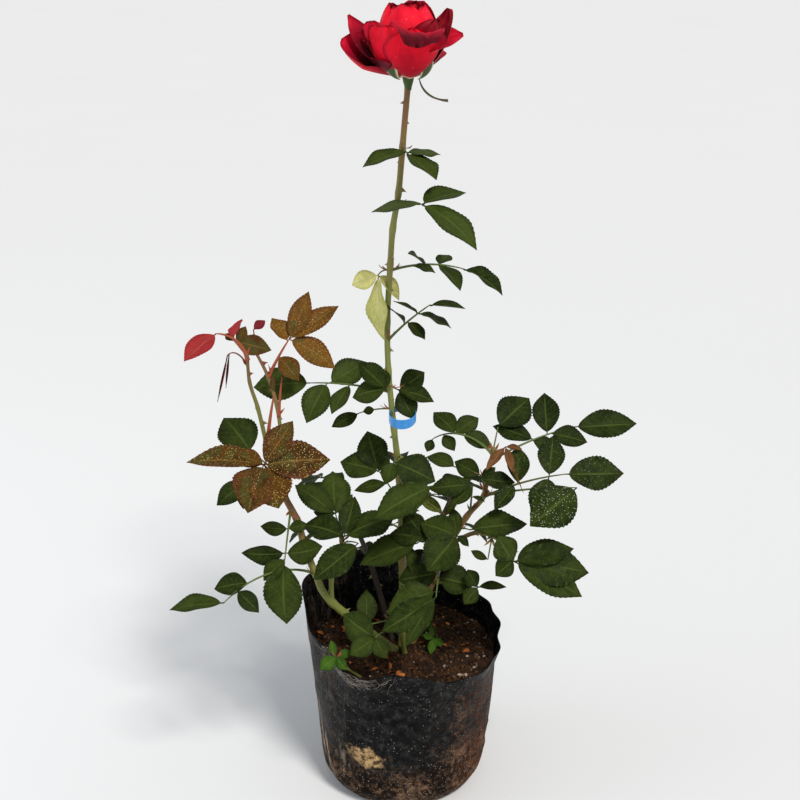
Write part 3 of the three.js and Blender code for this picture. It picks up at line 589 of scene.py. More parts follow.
def make_stalks(finish):
    """The stalks of all leaves: thicker at the cane, thin at the last leaflet."""
    lines = np.stack([stalk_line(leaf) for leaf in LEAVES.values()])
    run = np.linspace(0, 1, STALK_STATIONS)
    long = np.array([leaf[5] for leaf in LEAVES.values()], float)[:, None]
    kinds = [leaf[7] for leaf in LEAVES.values()]
    stout = np.array([[RED_STOUTNESS if kind in ("bronze", "red") else 1] for kind in kinds])
    foot = STALK_FOOT_RADIUS * np.clip(long / 45, 0.75, 1.1) * stout
    radii = STALK_TIP_RADIUS + (foot - STALK_TIP_RADIUS) * (1 - run) ** 0.7 + 0.5 * np.exp(-run * 14)
    red = np.array([0.15 if kind in ("green", "yellow") else 0.85 for kind in kinds])
    red = np.clip(red + rng.normal(0, 0.12, len(red)), 0, 1)
    stalks = tubes(lines, radii, STALK_SIDES, {"red": red})
    make_piece("leaf_stalks", [stalks, stipules(finish)], finish)


STIPULE_LENGTH = 11


def stipules(finish):
    """A pair of narrow ears at the foot of each stalk, as two small toothless leaflets."""
    lines = np.stack([stalk_line(leaf) for leaf in LEAVES.values()])
    run = unit(lines[:, 3] - lines[:, 0])
    side = unit(np.cross(run, np.array([0.1, 0.2, 1.0])))
    up = np.cross(side, run) * -1
    rows, red = [], []
    for hand in (-1, 1):
        along = unit(run + hand * side * 0.45)
        level = np.cross(up, along)
        length = STIPULE_LENGTH * rng.uniform(0.7, 1.1, len(run))
        rows.append((lines[:, 0] + run * 1.0, along, unit(level), unit(np.cross(along, level)),
                     length, np.full(len(run), 0.24)))
        red.append(rng.uniform(0.35, 1, len(run)))
    rows = [np.concatenate(column) for column in zip(*rows)]
    return leaf_skins(rows, leaf_habit(len(rows[0]), 0.4, 0.7), {"red": np.concatenate(red)}, 0.0)


CANE_SIDES = 16
BARK_STEP = 2.2
NODE_SWELLING = 0.16
NODE_REACH = 4.0


def cane_skin(name):
    """A cane's bark: a tapering tube, swollen at each joint, with low flutes and lumps."""
    line = CANE_LINES[name]
    joints = shares(line)[::CANE_STEPS]
    steps = np.linalg.norm(np.diff(line, axis=0), axis=1)
    length = steps.sum()
    share = np.linspace(0, 1, max(12, int(length / BARK_STEP)))
    radius = np.interp(share, [0, 0.5, 1], CANES[name][2])
    away = np.abs(share[:, None] - joints[None]) * length
    radius = radius * (1 + NODE_SWELLING * np.exp(-(away / NODE_REACH) ** 2).sum(1))
    centre = at(line, share)
    radius = radius * (1 + 0.05 * value_noise(centre, 7.0, 3))
    red = np.interp(share, [0, 0.5, 1], CANES[name][3])
    red = np.clip(red + 0.25 * value_noise(centre, 30.0, 5), 0, 1)
    return tubes(centre[None], radius[None], CANE_SIDES, {"red": red[None]}, 0.02)


PRICKLE_GAP = 17
PRICKLE_STATIONS = 6
PRICKLE_SIDES = 8


def prickle_skins():
    """Prickles: flattened cones whose tips hook down: r = (1 - s)^1.3, drop = s^2 / 2.5."""
    roots, outs, alongs, reds = [], [], [], []
    for name, line in CANE_LINES.items():
        length = np.linalg.norm(np.diff(line, axis=0), axis=1).sum()
        share = np.arange(8, length - 6, PRICKLE_GAP) / length
        share = np.clip(share + rng.normal(0, 4 / length, len(share)), 0.02, 0.98)
        centre = at(line, share)
        along = unit(at(line, np.minimum(share + 0.01, 1)) - at(line, np.maximum(share - 0.01, 0)))
        turn = np.arange(len(share)) * 2.4 + rng.uniform(0, TAU)
        a = unit(np.cross(along, [0.3, 1.0, 0.2]))
        out = np.cos(turn)[:, None] * a + np.sin(turn)[:, None] * np.cross(along, a)
        radius = np.interp(share, [0, 0.5, 1], CANES[name][2])
        roots.append(centre + out * radius[:, None] * 0.85)
        outs.append(out)
        alongs.append(along)
        reds.append(np.interp(share, [0, 0.5, 1], CANES[name][3]))
    root, out, along = (np.concatenate(x)[:, None, None] for x in (roots, outs, alongs))
    side = np.cross(along, out)
    s = np.linspace(0, 0.94, PRICKLE_STATIONS)[None, :, None, None]
    t = (np.arange(PRICKLE_SIDES) / PRICKLE_SIDES * TAU)[None, None, :, None]
    size = rng.uniform(2.6, 4.6, len(root))[:, None, None, None]
    thin = (1 - s) ** 1.3
    rings = (root + size * s * out - along * size * s ** 2 / 2.5
             + thin * size * (0.5 * np.cos(t) * along * -1 + 0.2 * np.sin(t) * side))
    tip = (root + size * out - along * size / 2.5)[:, 0, 0]
    return loft(rings, root[:, 0, 0], tip, {"red": np.concatenate(reds)})


def make_canes(bark, painted_shade_bark, prickle):
    """Each cane is its own piece, the shaded ones at the back in bark darkened as painted
    shade; the prickles are one.
    """
    for name in CANES:
        finish = painted_shade_bark if name in CANE_GROUPS["back"] else bark
        nodes = [name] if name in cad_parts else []
        make_piece(f"{name}_bark", [cane_skin(name)], finish, nodes)
    make_piece("prickles", [prickle_skins()], prickle)


# ---- bloom ---------------------------------------------------------------------------------

HIP_HEIGHT = 13
HIP_RADIUS = 4.8
PETAL_STATIONS = 34
PETAL_COLUMNS = 25
PETAL_THICKNESS = 0.55
CREST_SHARE = 0.77
BLOOM_FOOT = CANE_LINES["flower_cane"][-1] + np.array([0, 0, HIP_HEIGHT * 0.35])


def petal(heading, length, width, rises, cup=1.3, roll=0.1, skew=0.0, ruffle=0.02, point=0.5,
          root=3.0, lift=0.0, twist=0.0, hollow=0.0, curled=0.0, under=0.0):
    """One petal's sizes, in the order that petal_skins reads them, then how much painted shade it
    gets: inside near its foot, inside past the crest of a rolled lip, and outside, each from 0 to 1."""
    return (heading, length, width, *rises, cup, roll, skew, ruffle, point, root, lift, twist,
            hollow, curled, under)


def petal_marks(rows):
    """Each petal's own tint, the painted shade on each ring of its inside, and the painted shade on
    its outside.
    """
    hollow, curled, under = np.array(rows, float).T[-3:, :, None]
    # painted shade: hollow near the foot inside, curled past a rolled crest, under on the outside
    s = np.linspace(0, 1, PETAL_STATIONS)[None]
    deep = 1 - np.clip((s - 0.55) / 0.4, 0, 1)
    past_crest = np.clip((s - CREST_SHARE) / 0.1, 0, 1)
    return {
        "tint": rng.uniform(0, 1, len(rows)),
        "inner_dark": np.maximum(hollow * deep, curled * past_crest),
        "outer_dark": under[:, 0],
    }


def petal_skins(rows, marks=None):
    """Petals as thin closed skins.

    The middle line's rise is a cubic Bernstein blend of four rises; its run outwards and its
    height are the sums of cos(rise) and sin(rise). Across, a petal is an arc of radius cup times
    its distance from the bloom's axis, its margins rolled back by roll |v|^3 towards the lip, and
    skewed and ruffled there; twist turns its width about the middle line, more towards the lip.
    Half width = W times a claw that widens, then an elliptic lip.
    """
    row = np.array(rows, float).T[:-3, :, None, None]
    heading, length, width, r0, r1, r2, r3, cup, roll, skew, ruffle, point, root, lift, twist = row
    s = np.linspace(0, 0.985, PETAL_STATIONS)[None, :, None]
    rise = np.radians((1 - s) ** 3 * r0 + 3 * s * (1 - s) ** 2 * r1
                      + 3 * s ** 2 * (1 - s) * r2 + s ** 3 * r3)
    step = length / (PETAL_STATIONS - 1)
    run = root + np.cumsum(np.cos(rise), 1) * step
    high = lift + np.cumsum(np.sin(rise), 1) * step
    broad = 0.6
    claw = 0.14 + 0.86 * np.sin(np.pi / 2 * np.minimum(1, s / broad)) ** 1.15
    lip = np.clip((s - broad) / (1 - broad), 0, 1)
    half = width / 2 * claw * (1 - lip ** 2.2) ** point
    v = np.linspace(1, -1, PETAL_COLUMNS)
    v = np.concatenate([v, -v[1:-1]])[None, None]
    outer = (np.arange(v.shape[-1]) >= PETAL_COLUMNS)[None, None]
    arc = cup * np.maximum(np.abs(run), 7.0)
    bend = np.clip(half * v / arc, -2.6, 2.6)
    near_lip = np.clip((s - 0.45) / 0.55, 0, 1)
    spot = np.stack(np.broadcast_arrays(3.1 * s, 1.6 * v, heading / 7), -1)
    wrinkle = 0.012 * value_noise(spot, 1.0, 6) + 0.006 * value_noise(spot, 0.45, 7)
    lean = (arc * (1 - np.cos(bend))
            - roll * half * np.abs(v) ** 3 * near_lip * 2
            - skew * length * v * near_lip ** 2
            + ruffle * length * np.sin(TAU * (1.6 * v + heading / 97)) * near_lip ** 2
            + length * wrinkle * (0.4 + near_lip))
    thick = np.where(outer, PETAL_THICKNESS * (1 - v ** 2), 0)
    lean = lean - thick * np.cos(bend)
    wide = (arc + thick) * np.sin(bend)
    h = np.radians(heading)
    zero = np.zeros_like(h)
    out = np.stack([np.cos(h), np.sin(h), zero], -1)
    side = np.stack([-np.sin(h), np.cos(h), zero], -1)
    top = np.array([0.0, 0.0, 1.0])
    inward = -np.sin(rise)[..., None] * out + np.cos(rise)[..., None] * top
    turned = np.radians(twist) * np.minimum(1, s / 0.5)
    wide, lean = (wide * np.cos(turned) - lean * np.sin(turned),
                  wide * np.sin(turned) + lean * np.cos(turned))
    rings = (BLOOM_FOOT + run[..., None] * out + high[..., None] * top
             + wide[..., None] * side + lean[..., None] * inward)
    middle = PETAL_COLUMNS // 2
    start = rings[:, 0, middle] * 0.5 + rings[:, 0, -middle - 1] * 0.5
    end = rings[:, -1, middle] * 0.5 + rings[:, -1, -middle - 1] * 0.5
    return loft(rings, start, end, marks, sharp=(0, PETAL_COLUMNS - 1))


def bloom_petals():
    """Outer petals placed one by one, then the wrapped petals of the high centre, then its heart.

    A bowl stands in front under a petal whose lip rolls out over it; wings spread to both sides,
    and the petals of the high centre wrap round the heart behind them.
    """
    # hollow, curled and under give a petal painted shade, inside and outside
    outer = [
        petal(-84, 44, 47, (8, 62, 96, 86), cup=0.98, roll=0.08, point=1.0, root=9.2),
        petal(-132, 45, 50, (8, 62, 98, 82), cup=1.1, roll=0.06, point=0.35, root=7.2, twist=4),
        petal(-78, 57, 42, (24, 90, 132, -150), cup=1.1, roll=0.0, point=0.5, root=6.5, twist=-7,
              curled=1.0),
        petal(-34, 46, 44, (20, 78, 96, 78), cup=1.1, roll=0.0, point=0.5, root=6.0, under=0.75),
        petal(-12, 47, 42, (62, 62, 22, 14), cup=1.4, roll=0.05, point=1.2, root=5.0, twist=24),
        petal(178, 51, 42, (4, 20, 56, 60), cup=0.45, roll=0.0, point=0.6, root=5.0, twist=-42,
              hollow=1.0),
        petal(168, 58, 26, (24, 46, 58, 62), cup=1.2, roll=0.0, point=1.0, root=5.0, twist=-25,
              hollow=1.0),
        petal(-162, 27, 34, (0, 12, 52, 46), cup=1.1, roll=0.0, point=0.6, root=5.0, lift=1.5,
              under=1.0),
        petal(10, 55, 36, (20, 66, 92, 72), cup=1.2, roll=0.05, point=0.7, root=5.0, twist=14,
              hollow=1.0, curled=0.7),
        petal(150, 47, 44, (10, 60, 92, 70), cup=1.1, roll=0.1, point=0.5, root=7.5),
        petal(88, 50, 52, (8, 62, 96, 60), cup=1.0, roll=0.15, point=0.6, root=8.0),
        petal(112, 48, 42, (2, 24, 58, 14), cup=1.4, roll=0.2, point=0.8, root=5.0),
        petal(74, 48, 42, (2, 26, 56, 10), cup=1.4, roll=0.2, point=0.8, root=5.0),
    ]
    high_centre = [
        petal(-106, 58, 60, (30, 70, 102, 136), cup=1.0, roll=0.05, point=0.4, root=6.5),
        petal(-14, 57, 54, (30, 70, 102, 134), cup=1.0, roll=0.05, point=0.4, root=6.0),
        petal(66, 58, 56, (30, 70, 102, 124), cup=1.0, roll=0.08, point=0.4, root=6.4),
        petal(160, 57, 54, (30, 70, 102, 128), cup=1.0, roll=0.08, point=0.4, root=6.0),
    ]
    spiral = 137.5
    heart = [
        petal(-40 + spiral * k, 51 - 0.8 * k, 32, (60, 88, 100, 108 - k), cup=1.0,
              roll=0.04, ruffle=0.015, root=3.6 - 0.25 * k)
        for k in range(9)
    ]
    return outer + high_centre + heart


def sepals():
    """Five narrow sepals: two clasp the bowl in front, one hangs and curls to the right."""
    return [
        petal(-132, 27, 13, (2, 50, 92, 100), cup=1.3, root=8.5, point=1.1, lift=-1),
        petal(-42, 24, 12, (2, 50, 90, 96), cup=1.3, root=8.5, point=1.1, lift=-1),
        petal(-24, 30, 5.0, (-84, -50, -2, 2), cup=0.7, root=9, point=1.7, lift=0),
        petal(60, 30, 9, (5, 20, 50, 30), cup=1.4, root=4.5, point=0.9, lift=-1),
        petal(130, 28, 9, (4, 30, 60, 40), cup=1.4, root=4.5, point=0.9, lift=-1),
    ]


def hip_skin():
    """The green urn under the petals: a ring profile turned about the bloom's axis."""
    share = np.linspace(0, 1, 14)
    swell = np.sin(np.pi * np.clip(share * 0.62 + 0.03, 0, 1)) ** 2
    wide = HIP_RADIUS * (0.5 + 0.4 * swell) + 2.5 * share ** 8
    line = BLOOM_FOOT + np.stack([0 * share, 0 * share, -HIP_HEIGHT * 0.75 + share * HIP_HEIGHT], -1)
    return tubes(line[None], wide[None], 24, {"red": np.zeros(1), "margin": np.zeros(1)})


def make_bloom(crimson, green):
    """The petals as one piece, the hip with its five sepals as another."""
    petals = bloom_petals()
    make_piece("bloom_petals", [petal_skins(petals, petal_marks(petals))], crimson, ["bloom"])
    downy = {"red": np.array([0.3, 0.3, 0.9, 0.3, 0.3]), "margin": np.array([1, 1, 0.1, 1, 1])}
    make_piece("hip_and_sepals", [hip_skin(), petal_skins(sepals(), downy)], green,
               ["hip"])


# ---- bag and soil --------------------------------------------------------------------------

BAG_PROFILE = [(0, 56), (0.03, 64.5), (0.12, 71.5), (0.35, 74), (0.62, 76), (0.84, 79), (1, 84)]
RIM_HEIGHT = 153
FILM = 0.7
BAG_FLOOR = 2.5
BAG_AROUND = 360
BAG_UP = 110
CREASES = 90
UNROLLED_RADIUS = 76

# Where the mouth is pulled down: the heading, the depth and how far round it reaches.
DIPS = [(math.radians(-127), 19, 0.5), (math.radians(-48), 9, 0.55)]


def bag_radius(share):
    """The bag's outer radius at this share of the wall's height, by straight steps."""
    at_share, radius = zip(*BAG_PROFILE)
    return np.interp(share, at_share, radius)


def rim_height(turn):
    """The mouth's height: lower on the right, higher at the back, a little crumpled, and
    pulled down twice in front."""
    high = RIM_HEIGHT - 17.5 * np.cos(turn) + 9 * np.sin(turn) + 2 * np.sin(7 * turn)
    for heading, depth, reach in DIPS:
        away = (turn - heading + TAU / 2) % TAU - TAU / 2
        high = high - depth * np.exp(-(away / reach) ** 2)
    return high


# Creases that show in front: the place along the unrolled wall from the front, the height, the
# tilt from level in degrees, the half length, the depth and the reach.
FRONT_CREASES = [
    (11, 76, -72, 30, -2.2, 7), (-16, 100, -14, 34, 1.8, 9), (4, 98, 40, 16, -1.6, 6),
    (34, 84, 12, 30, -1.6, 8), (-52, 70, 78, 44, 1.6, 6), (-40, 96, 66, 30, -1.4, 7),
    (52, 112, -60, 24, 1.5, 8),
]
FRONT_TURN = -TAU / 4


def crease_list():
    """The front creases, then seeded ones all round the wall."""
    dice = np.random.default_rng(SEED + 1)
    placed = [(x + FRONT_TURN * UNROLLED_RADIUS, z, math.radians(tilt), half, depth, reach)
              for x, z, tilt, half, depth, reach in FRONT_CREASES]
    spread = [(dice.uniform(0, TAU * UNROLLED_RADIUS), dice.uniform(8, 148), dice.normal(0, 0.55),
               dice.uniform(12, 46), dice.normal(0, 0.6), dice.uniform(4, 12))
              for _ in range(CREASES)]
    return placed + spread


def crumple(turn, share):
    """How far the film stands out: two slow waves, then the creases.

    Each crease is a line on the unrolled wall; off it the film falls away as
    depth (1 - |off| / reach)^1.5, and along it as cos^2 of the share of its half length.
    """
    out = 1.2 * (np.sin(5 * turn + 4 * share) + 0.6 * np.sin(9 * turn - 7 * share + 1))
    x, z = turn * UNROLLED_RADIUS, share * RIM_HEIGHT
    girth = TAU * UNROLLED_RADIUS
    for x0, z0, tilt, half, depth, reach in crease_list():
        dx = (x - x0 + girth / 2) % girth - girth / 2
        dz = z - z0
        along = dx * math.cos(tilt) + dz * math.sin(tilt)
        off = dz * math.cos(tilt) - dx * math.sin(tilt) + along ** 2 * 0.004
        fade = np.cos(np.clip(along / half, -1, 1) * np.pi / 2) ** 2
        out = out + depth * np.clip(1 - np.abs(off) / reach, 0, 1) ** 1.5 * fade
    return out * np.minimum(1, share * 6)


def wall_radius(turn, share):
    """The outer radius with its creases, and with waves in the free lip at the top."""
    lip = np.clip((share - 0.9) / 0.1, 0, 1)
    wave = 1.6 * np.sin(13 * turn + 2 * np.sin(3 * turn))
    return bag_radius(share) + crumple(turn, share) + lip * wave


def bag_skin():
    """The bag: up the outside, over the rim, down the inside, closed under and inside."""
    turn = np.arange(BAG_AROUND) / BAG_AROUND * TAU
    share = np.concatenate([np.linspace(0, 0.12, 22)[:-1], np.linspace(0.12, 1, BAG_UP - 21)])
    t, q = np.meshgrid(turn, share)
    radius = wall_radius(t, q)
    high = rim_height(t) * q
    outer = np.stack([radius * np.cos(t), radius * np.sin(t), high], -1)
    inner_radius = radius - FILM
    inner_high = np.maximum(high, BAG_FLOOR)
    inner = np.stack([inner_radius * np.cos(t), inner_radius * np.sin(t), inner_high], -1)
    rings = np.concatenate([outer, inner[::-1][:-1]])[None]
    return loft(rings, np.zeros((1, 3)), np.array([[0.0, 0.0, BAG_FLOOR]]))


FIBRES = 60
FIBRE_RADIUS = 0.17
FIBRE_STATIONS = 12


def fibre_skins():
    """Fine pale dry roots along the dipped rim: short wavy tubes laid on the wall's outside."""
    dice = np.random.default_rng(SEED + 5)
    middle = dice.normal(-121, 11, FIBRES)[:, None]
    span = dice.uniform(2, 6, FIBRES)[:, None] * dice.choice([-1, 1], FIBRES)[:, None]
    run = np.linspace(-1, 1, FIBRE_STATIONS)[None]
    turn = np.radians(middle + span * run)
    share = dice.uniform(0.93, 1.0, FIBRES)[:, None] + dice.normal(0, 0.03, FIBRES)[:, None] * run
    share = np.minimum(share + 0.008 * np.sin(dice.uniform(3, 7, FIBRES)[:, None] * run), 0.995)
    radius = wall_radius(turn, share) + 0.35
    lines = np.stack([radius * np.cos(turn), radius * np.sin(turn), rim_height(turn) * share], -1)
    thin = np.full(run.shape, FIBRE_RADIUS) * (1 - 0.6 * np.abs(run)) * np.ones((FIBRES, 1))
    return tubes(lines, thin, 5, {"tint": dice.uniform(0, 1, FIBRES)})


SOIL_AROUND = 360
SOIL_GAP = 0.8
SOIL_RINGS = 90
SOIL_WALL_RINGS = 12
SOIL_UNDERSIDE = 6
SOIL_SHOULDER = SOIL_TOP - 3
SOIL_SPREAD = 76


def soil_height(x, y):
    """The height of the soil's top: lumps of four sizes."""
    points = np.stack([x, y, 0 * x], -1)
    return (SOIL_TOP + 2.2 * value_noise(points, 24, 1) + 1.5 * value_noise(points, 8, 2)
            + 1.1 * value_noise(points, 3.4, 3) + 0.5 * value_noise(points, 1.6, 4))


def soil_skin():
    """The soil: up the wall from its underside, then in over the rough top to the middle."""
    turn = np.arange(SOIL_AROUND) / SOIL_AROUND * TAU
    t, high = np.meshgrid(turn, np.linspace(SOIL_UNDERSIDE, SOIL_SHOULDER, SOIL_WALL_RINGS))
    slack = 3 * (1 - high / SOIL_SHOULDER)
    radius = wall_radius(t, high / rim_height(t)) - FILM - SOIL_GAP - slack
    wall = np.stack([radius * np.cos(t), radius * np.sin(t), high], -1)
    reach = np.linspace(1, 0.02, SOIL_RINGS)[:, None]
    edge = radius[-1:] - 0.3
    x, y = reach * edge * np.cos(turn), reach * edge * np.sin(turn)
    top = np.stack([x, y, soil_height(x, y)], -1)
    rings = np.concatenate([wall, top])[None]
    return loft(rings, np.array([[0, 0, BAG_FLOOR + 1.0]]), np.array([[0, 0, SOIL_TOP + 0.0]]),
                {"tint": np.array([0.3])})


CRUMB_FLATNESS = 0.7


def crumbs(count, size, seed, where=None):
    """Small uneven lumps on the soil: squashed balls whose rings are pushed about at random."""
    dice = np.random.default_rng(SEED + seed)
    if where is None:
        far = np.sqrt(dice.uniform(0.02, 1, count)) * SOIL_SPREAD
        turn = dice.uniform(0, TAU, count)
        x, y = far * np.cos(turn), far * np.sin(turn)
    else:
        x, y = where(dice, count)
    big = dice.uniform(size * 0.45, size, count) * dice.uniform(0.5, 1, count)
    centre = np.stack([x, y, soil_height(x, y) + big * 0.15], -1)
    polar = np.array([0.18, 0.5, 0.82]) * np.pi
    around = 7
    p, t = np.meshgrid(polar, np.arange(around) / around * TAU, indexing="ij")
    shell = np.stack([np.sin(p) * np.cos(t), np.sin(p) * np.sin(t), -np.cos(p)], -1)[None]
    shell = shell * dice.uniform(0.7, 1.25, (count, len(polar), around, 1))
    stretch = np.stack([dice.uniform(0.7, 1.3, count), dice.uniform(0.7, 1.3, count),
                        np.full(count, CRUMB_FLATNESS)], -1)
    shell = shell * (stretch * big[:, None])[:, None, None]
    drop = np.zeros((count, 3))
    drop[:, 2] = big * CRUMB_FLATNESS
    return loft(centre[:, None, None] + shell, centre - drop, centre + drop,
                {"tint": dice.uniform(0, 1, count)})


# ---- blue band -----------------------------------------------------------------------------

BAND_RADIUS = 11
BAND_HEIGHT = 10
BAND_WALL = 0.5
BAND_SHARE = 0.45
BAND_AROUND = 96
BAND_TILT = math.radians(18)
BAND_HANG = np.array([8, -5, 0])


def band_skin():
    """A loose loop of plastic strip: a thin ring of strip, tilted, closed on itself."""
    turn = np.arange(BAND_AROUND) / BAND_AROUND * TAU
    centre = at(CANE_LINES["flower_cane"], BAND_SHARE) + BAND_HANG
    radius = BAND_RADIUS - 0.3 + 0.3 * np.sin(2 * turn)
    half = BAND_HEIGHT / 2 * (0.72 - 0.2 * np.sin(turn))
    section = [(-1, -1), (1, -1), (1, 1), (-1, 1)]
    level, rise = math.cos(BAND_TILT), math.sin(BAND_TILT)
    rings = []
    for face, edge in section:
        r = radius + face * BAND_WALL / 2
        x, y, z = r * np.cos(turn), r * np.sin(turn), edge * half
        y, z = y * level - z * rise, y * rise + z * level
        rings.append(np.stack([x, y, z], -1) + centre)
    return np.stack(rings, 1)


def make_band(finish):
    """The strip's four edges joined round the loop; the ring closes on itself, so no ends."""
    points = band_skin()
    around, edges = points.shape[:2]
    index = np.arange(around * edges).reshape(around, edges)
    quads = np.stack([index, np.roll(index, -1, 0), np.roll(np.roll(index, -1, 0), -1, 1),
                      np.roll(index, -1, 1)], -1).reshape(-1, 4)
    skin = {
        "points": points.reshape(-1, 3), "quads": quads,
        "quad_uv": np.zeros((len(quads), 4, 2)), "tris": np.zeros((0, 3), int),
        "tri_uv": np.zeros((0, 3, 2)), "marks": {}, "sharp": np.ones(around * edges, bool),
    }
    make_piece("blue_band", [skin], finish, ["tie_band"])


# ---- finishes ------------------------------------------------------------------------------


class Finish:
    """A Principled material under construction, with short calls that add and link its nodes."""

    def __init__(self, name, roughness, **sockets):
        self.material = bpy.data.materials.new(name)
        self.material.use_nodes = True
        self.tree = self.material.node_tree
        self.shader = self.tree.nodes["Principled BSDF"]
        self.set("Roughness", roughness)
        for socket, value in sockets.items():
            self.set(socket.replace("_", " "), value)
        self.object_place = self.node("ShaderNodeTexCoord").outputs["Object"]

    def set(self, socket, value):
        """Gives a shader socket a constant, or links it to another node's output."""
        self.feed(self.shader.inputs[socket], value)

    def feed(self, socket, value):
        """Links a node's output to the socket, or sets its constant; a colour gets its alpha."""
        if isinstance(value, bpy.types.NodeSocket):
            self.tree.links.new(value, socket)
        elif isinstance(value, tuple) and len(value) == 3 and len(socket.default_value) == 4:
            socket.default_value = (*value, 1)
        else:
            socket.default_value = value

    def node(self, kind, *values, **settings):
        """Adds a node, sets its properties, and feeds its sockets in order (None skips one)."""
        node = self.tree.nodes.new(kind)
        for key, value in settings.items():
            setattr(node, key, value)
        for socket, value in zip(node.inputs, values):
            if value is not None:
                self.feed(socket, value)
        return node

    def math(self, operation, *values):
        """The result of one of the maths node's operations."""
        return self.node("ShaderNodeMath", *values, operation=operation).outputs[0]

    def times(self, first, second):
        return self.math("MULTIPLY", first, second)

    def plus(self, first, second):
        return self.math("ADD", first, second)

    def minus(self, first, second):
        return self.math("SUBTRACT", first, second)

    def mix(self, share, first, second):
        """The first colour where the share is 0, the second where it is 1."""
        node = self.node("ShaderNodeMix", data_type="RGBA")
        self.feed(node.inputs[0], share)
        self.feed(node.inputs[6], first)
        self.feed(node.inputs[7], second)
        return node.outputs[2]

    def band(self, value, low, high):
        """0 below low, 1 above high and smooth between; low may be above high."""
        node = self.node("ShaderNodeMapRange", value, low, high, 0.0, 1.0,
                         interpolation_type="SMOOTHSTEP")
        return node.outputs[0]

    def noise(self, scale, detail=4.0, rough=0.55, stretch=None, place=None):
        """Cloudy noise from 0 to 1 over the object's own coordinates, or over another place."""
        where = place or self.object_place
        if stretch:
            where = self.node("ShaderNodeMapping", where, None, None, stretch).outputs[0]
        node = self.node("ShaderNodeTexNoise", where)
        node.inputs["Scale"].default_value = scale
        node.inputs["Detail"].default_value = detail
        node.inputs["Roughness"].default_value = rough
        return node.outputs["Fac"]

    def dots(self, scale, size, share):
        """Sparse round dots: 1 near a Voronoi cell's centre, in this share of the cells."""
        node = self.node("ShaderNodeTexVoronoi", self.object_place)
        node.inputs["Scale"].default_value = scale
        near = self.band(node.outputs["Distance"], size, size * 0.6)
        chance = self.node("ShaderNodeSeparateColor", node.outputs["Color"]).outputs[0]
        return self.times(near, self.math("LESS_THAN", chance, share))

    def mark(self, name):
        """The value that a mesh's points carry under this name."""
        return self.node("ShaderNodeAttribute", attribute_name=name).outputs["Fac"]

    def skin_place(self):
        """Where a point lies on a flat closed skin: its share along, its share of the turn, that
        share folded back at the second margin, and its share across, 1 at both margins."""
        place = self.node("ShaderNodeUVMap", uv_map="UVMap").outputs[0]
        along, around = self.node("ShaderNodeSeparateXYZ", place).outputs[:2]
        folded = self.math("PINGPONG", around, 0.5)
        across = self.math("ABSOLUTE", self.minus(self.times(folded, 4.0), 1.0))
        return along, around, folded, across

    def bump(self, height, distance, strength=1.0):
        """Fine relief: the distance, in metres, that a height of 1 stands out."""
        node = self.node("ShaderNodeBump")
        node.inputs["Strength"].default_value = strength
        node.inputs["Distance"].default_value = distance
        self.feed(node.inputs["Height"], height)
        self.set("Normal", node.outputs[0])


def leaf_finish(name, dark, light, rib, under, speck, patch=None, speck_share=0.5, edge=None):
    """A toothed blade: dark between its veins and at its edge, a pale midrib, a dull underside.

    across is 0 on the midrib and 1 at the margin; side veins are the peaks of
    |fract(7.5 along - 1.6 across) - 1/2|.
    """
    f = Finish(name, 0.5, Specular_IOR_Level=0.05)
    along, around, _, across = f.skin_place()
    underside = f.math("GREATER_THAN", around, 0.5)
    phase = f.minus(f.times(along, 7.5), f.times(across, 1.6))
    ridge = f.math("ABSOLUTE", f.minus(f.math("FRACT", phase), 0.5))
    vein = f.band(ridge, 0.40, 0.5)
    midrib = f.band(across, 0.10, 0.03)
    patches = f.band(f.noise(95.0, 5.0), 0.3, 0.7)
    mottle = f.band(f.noise(420.0, 4.0, 0.7), 0.35, 0.7)
    patches = f.plus(f.times(patches, 0.28), f.times(mottle, 0.22))
    tone = f.math("MULTIPLY_ADD", f.mark("tint"), 0.62, patches)
    colour = f.mix(tone, dark, light)
    if patch:
        blotch = f.band(f.noise(60.0, 3.0), 0.5, 0.62)
        colour = f.mix(f.times(blotch, 0.8), colour, patch)
    colour = f.mix(f.times(vein, 0.22), colour, rib)
    colour = f.mix(f.times(midrib, 0.5), colour, rib)
    colour = f.mix(f.times(f.band(across, 0.55, 1.0), 0.5), colour, edge or dark)
    dots = f.times(f.dots(760.0, 0.26, speck_share), f.mark("speckle"))
    colour = f.mix(dots, colour, speck)
    colour = f.mix(f.times(underside, 0.9), colour, under)
    f.set("Base Color", colour)
    hollow = f.plus(f.times(vein, -0.5), f.times(midrib, -0.9))
    grain = f.times(f.noise(900.0, 2.0), 0.35)
    f.bump(f.plus(hollow, grain), 0.0005, 0.8)
    return f.material


def stalk_finish(name, green, red, roughness=0.5, streak=0.5):
    """Stalks, bark and prickles: green to red by the mark, streaked and spotted."""
    f = Finish(name, roughness, Specular_IOR_Level=0.35)
    blotch = f.noise(160.0, 4.0, stretch=(1, 1, 0.35))
    red_share = f.plus(f.mark("red"), f.times(f.minus(blotch, 0.5), streak))
    colour = f.mix(f.band(red_share, 0.15, 0.95), green, red)
    spots = f.dots(500.0, 0.2, 0.35)
    colour = f.mix(f.times(spots, 0.5), colour, (0.25, 0.2, 0.12))
    f.set("Base Color", colour)
    f.bump(f.noise(700.0, 3.0, stretch=(1, 1, 0.3)), 0.0003, 0.6)
    return f.material


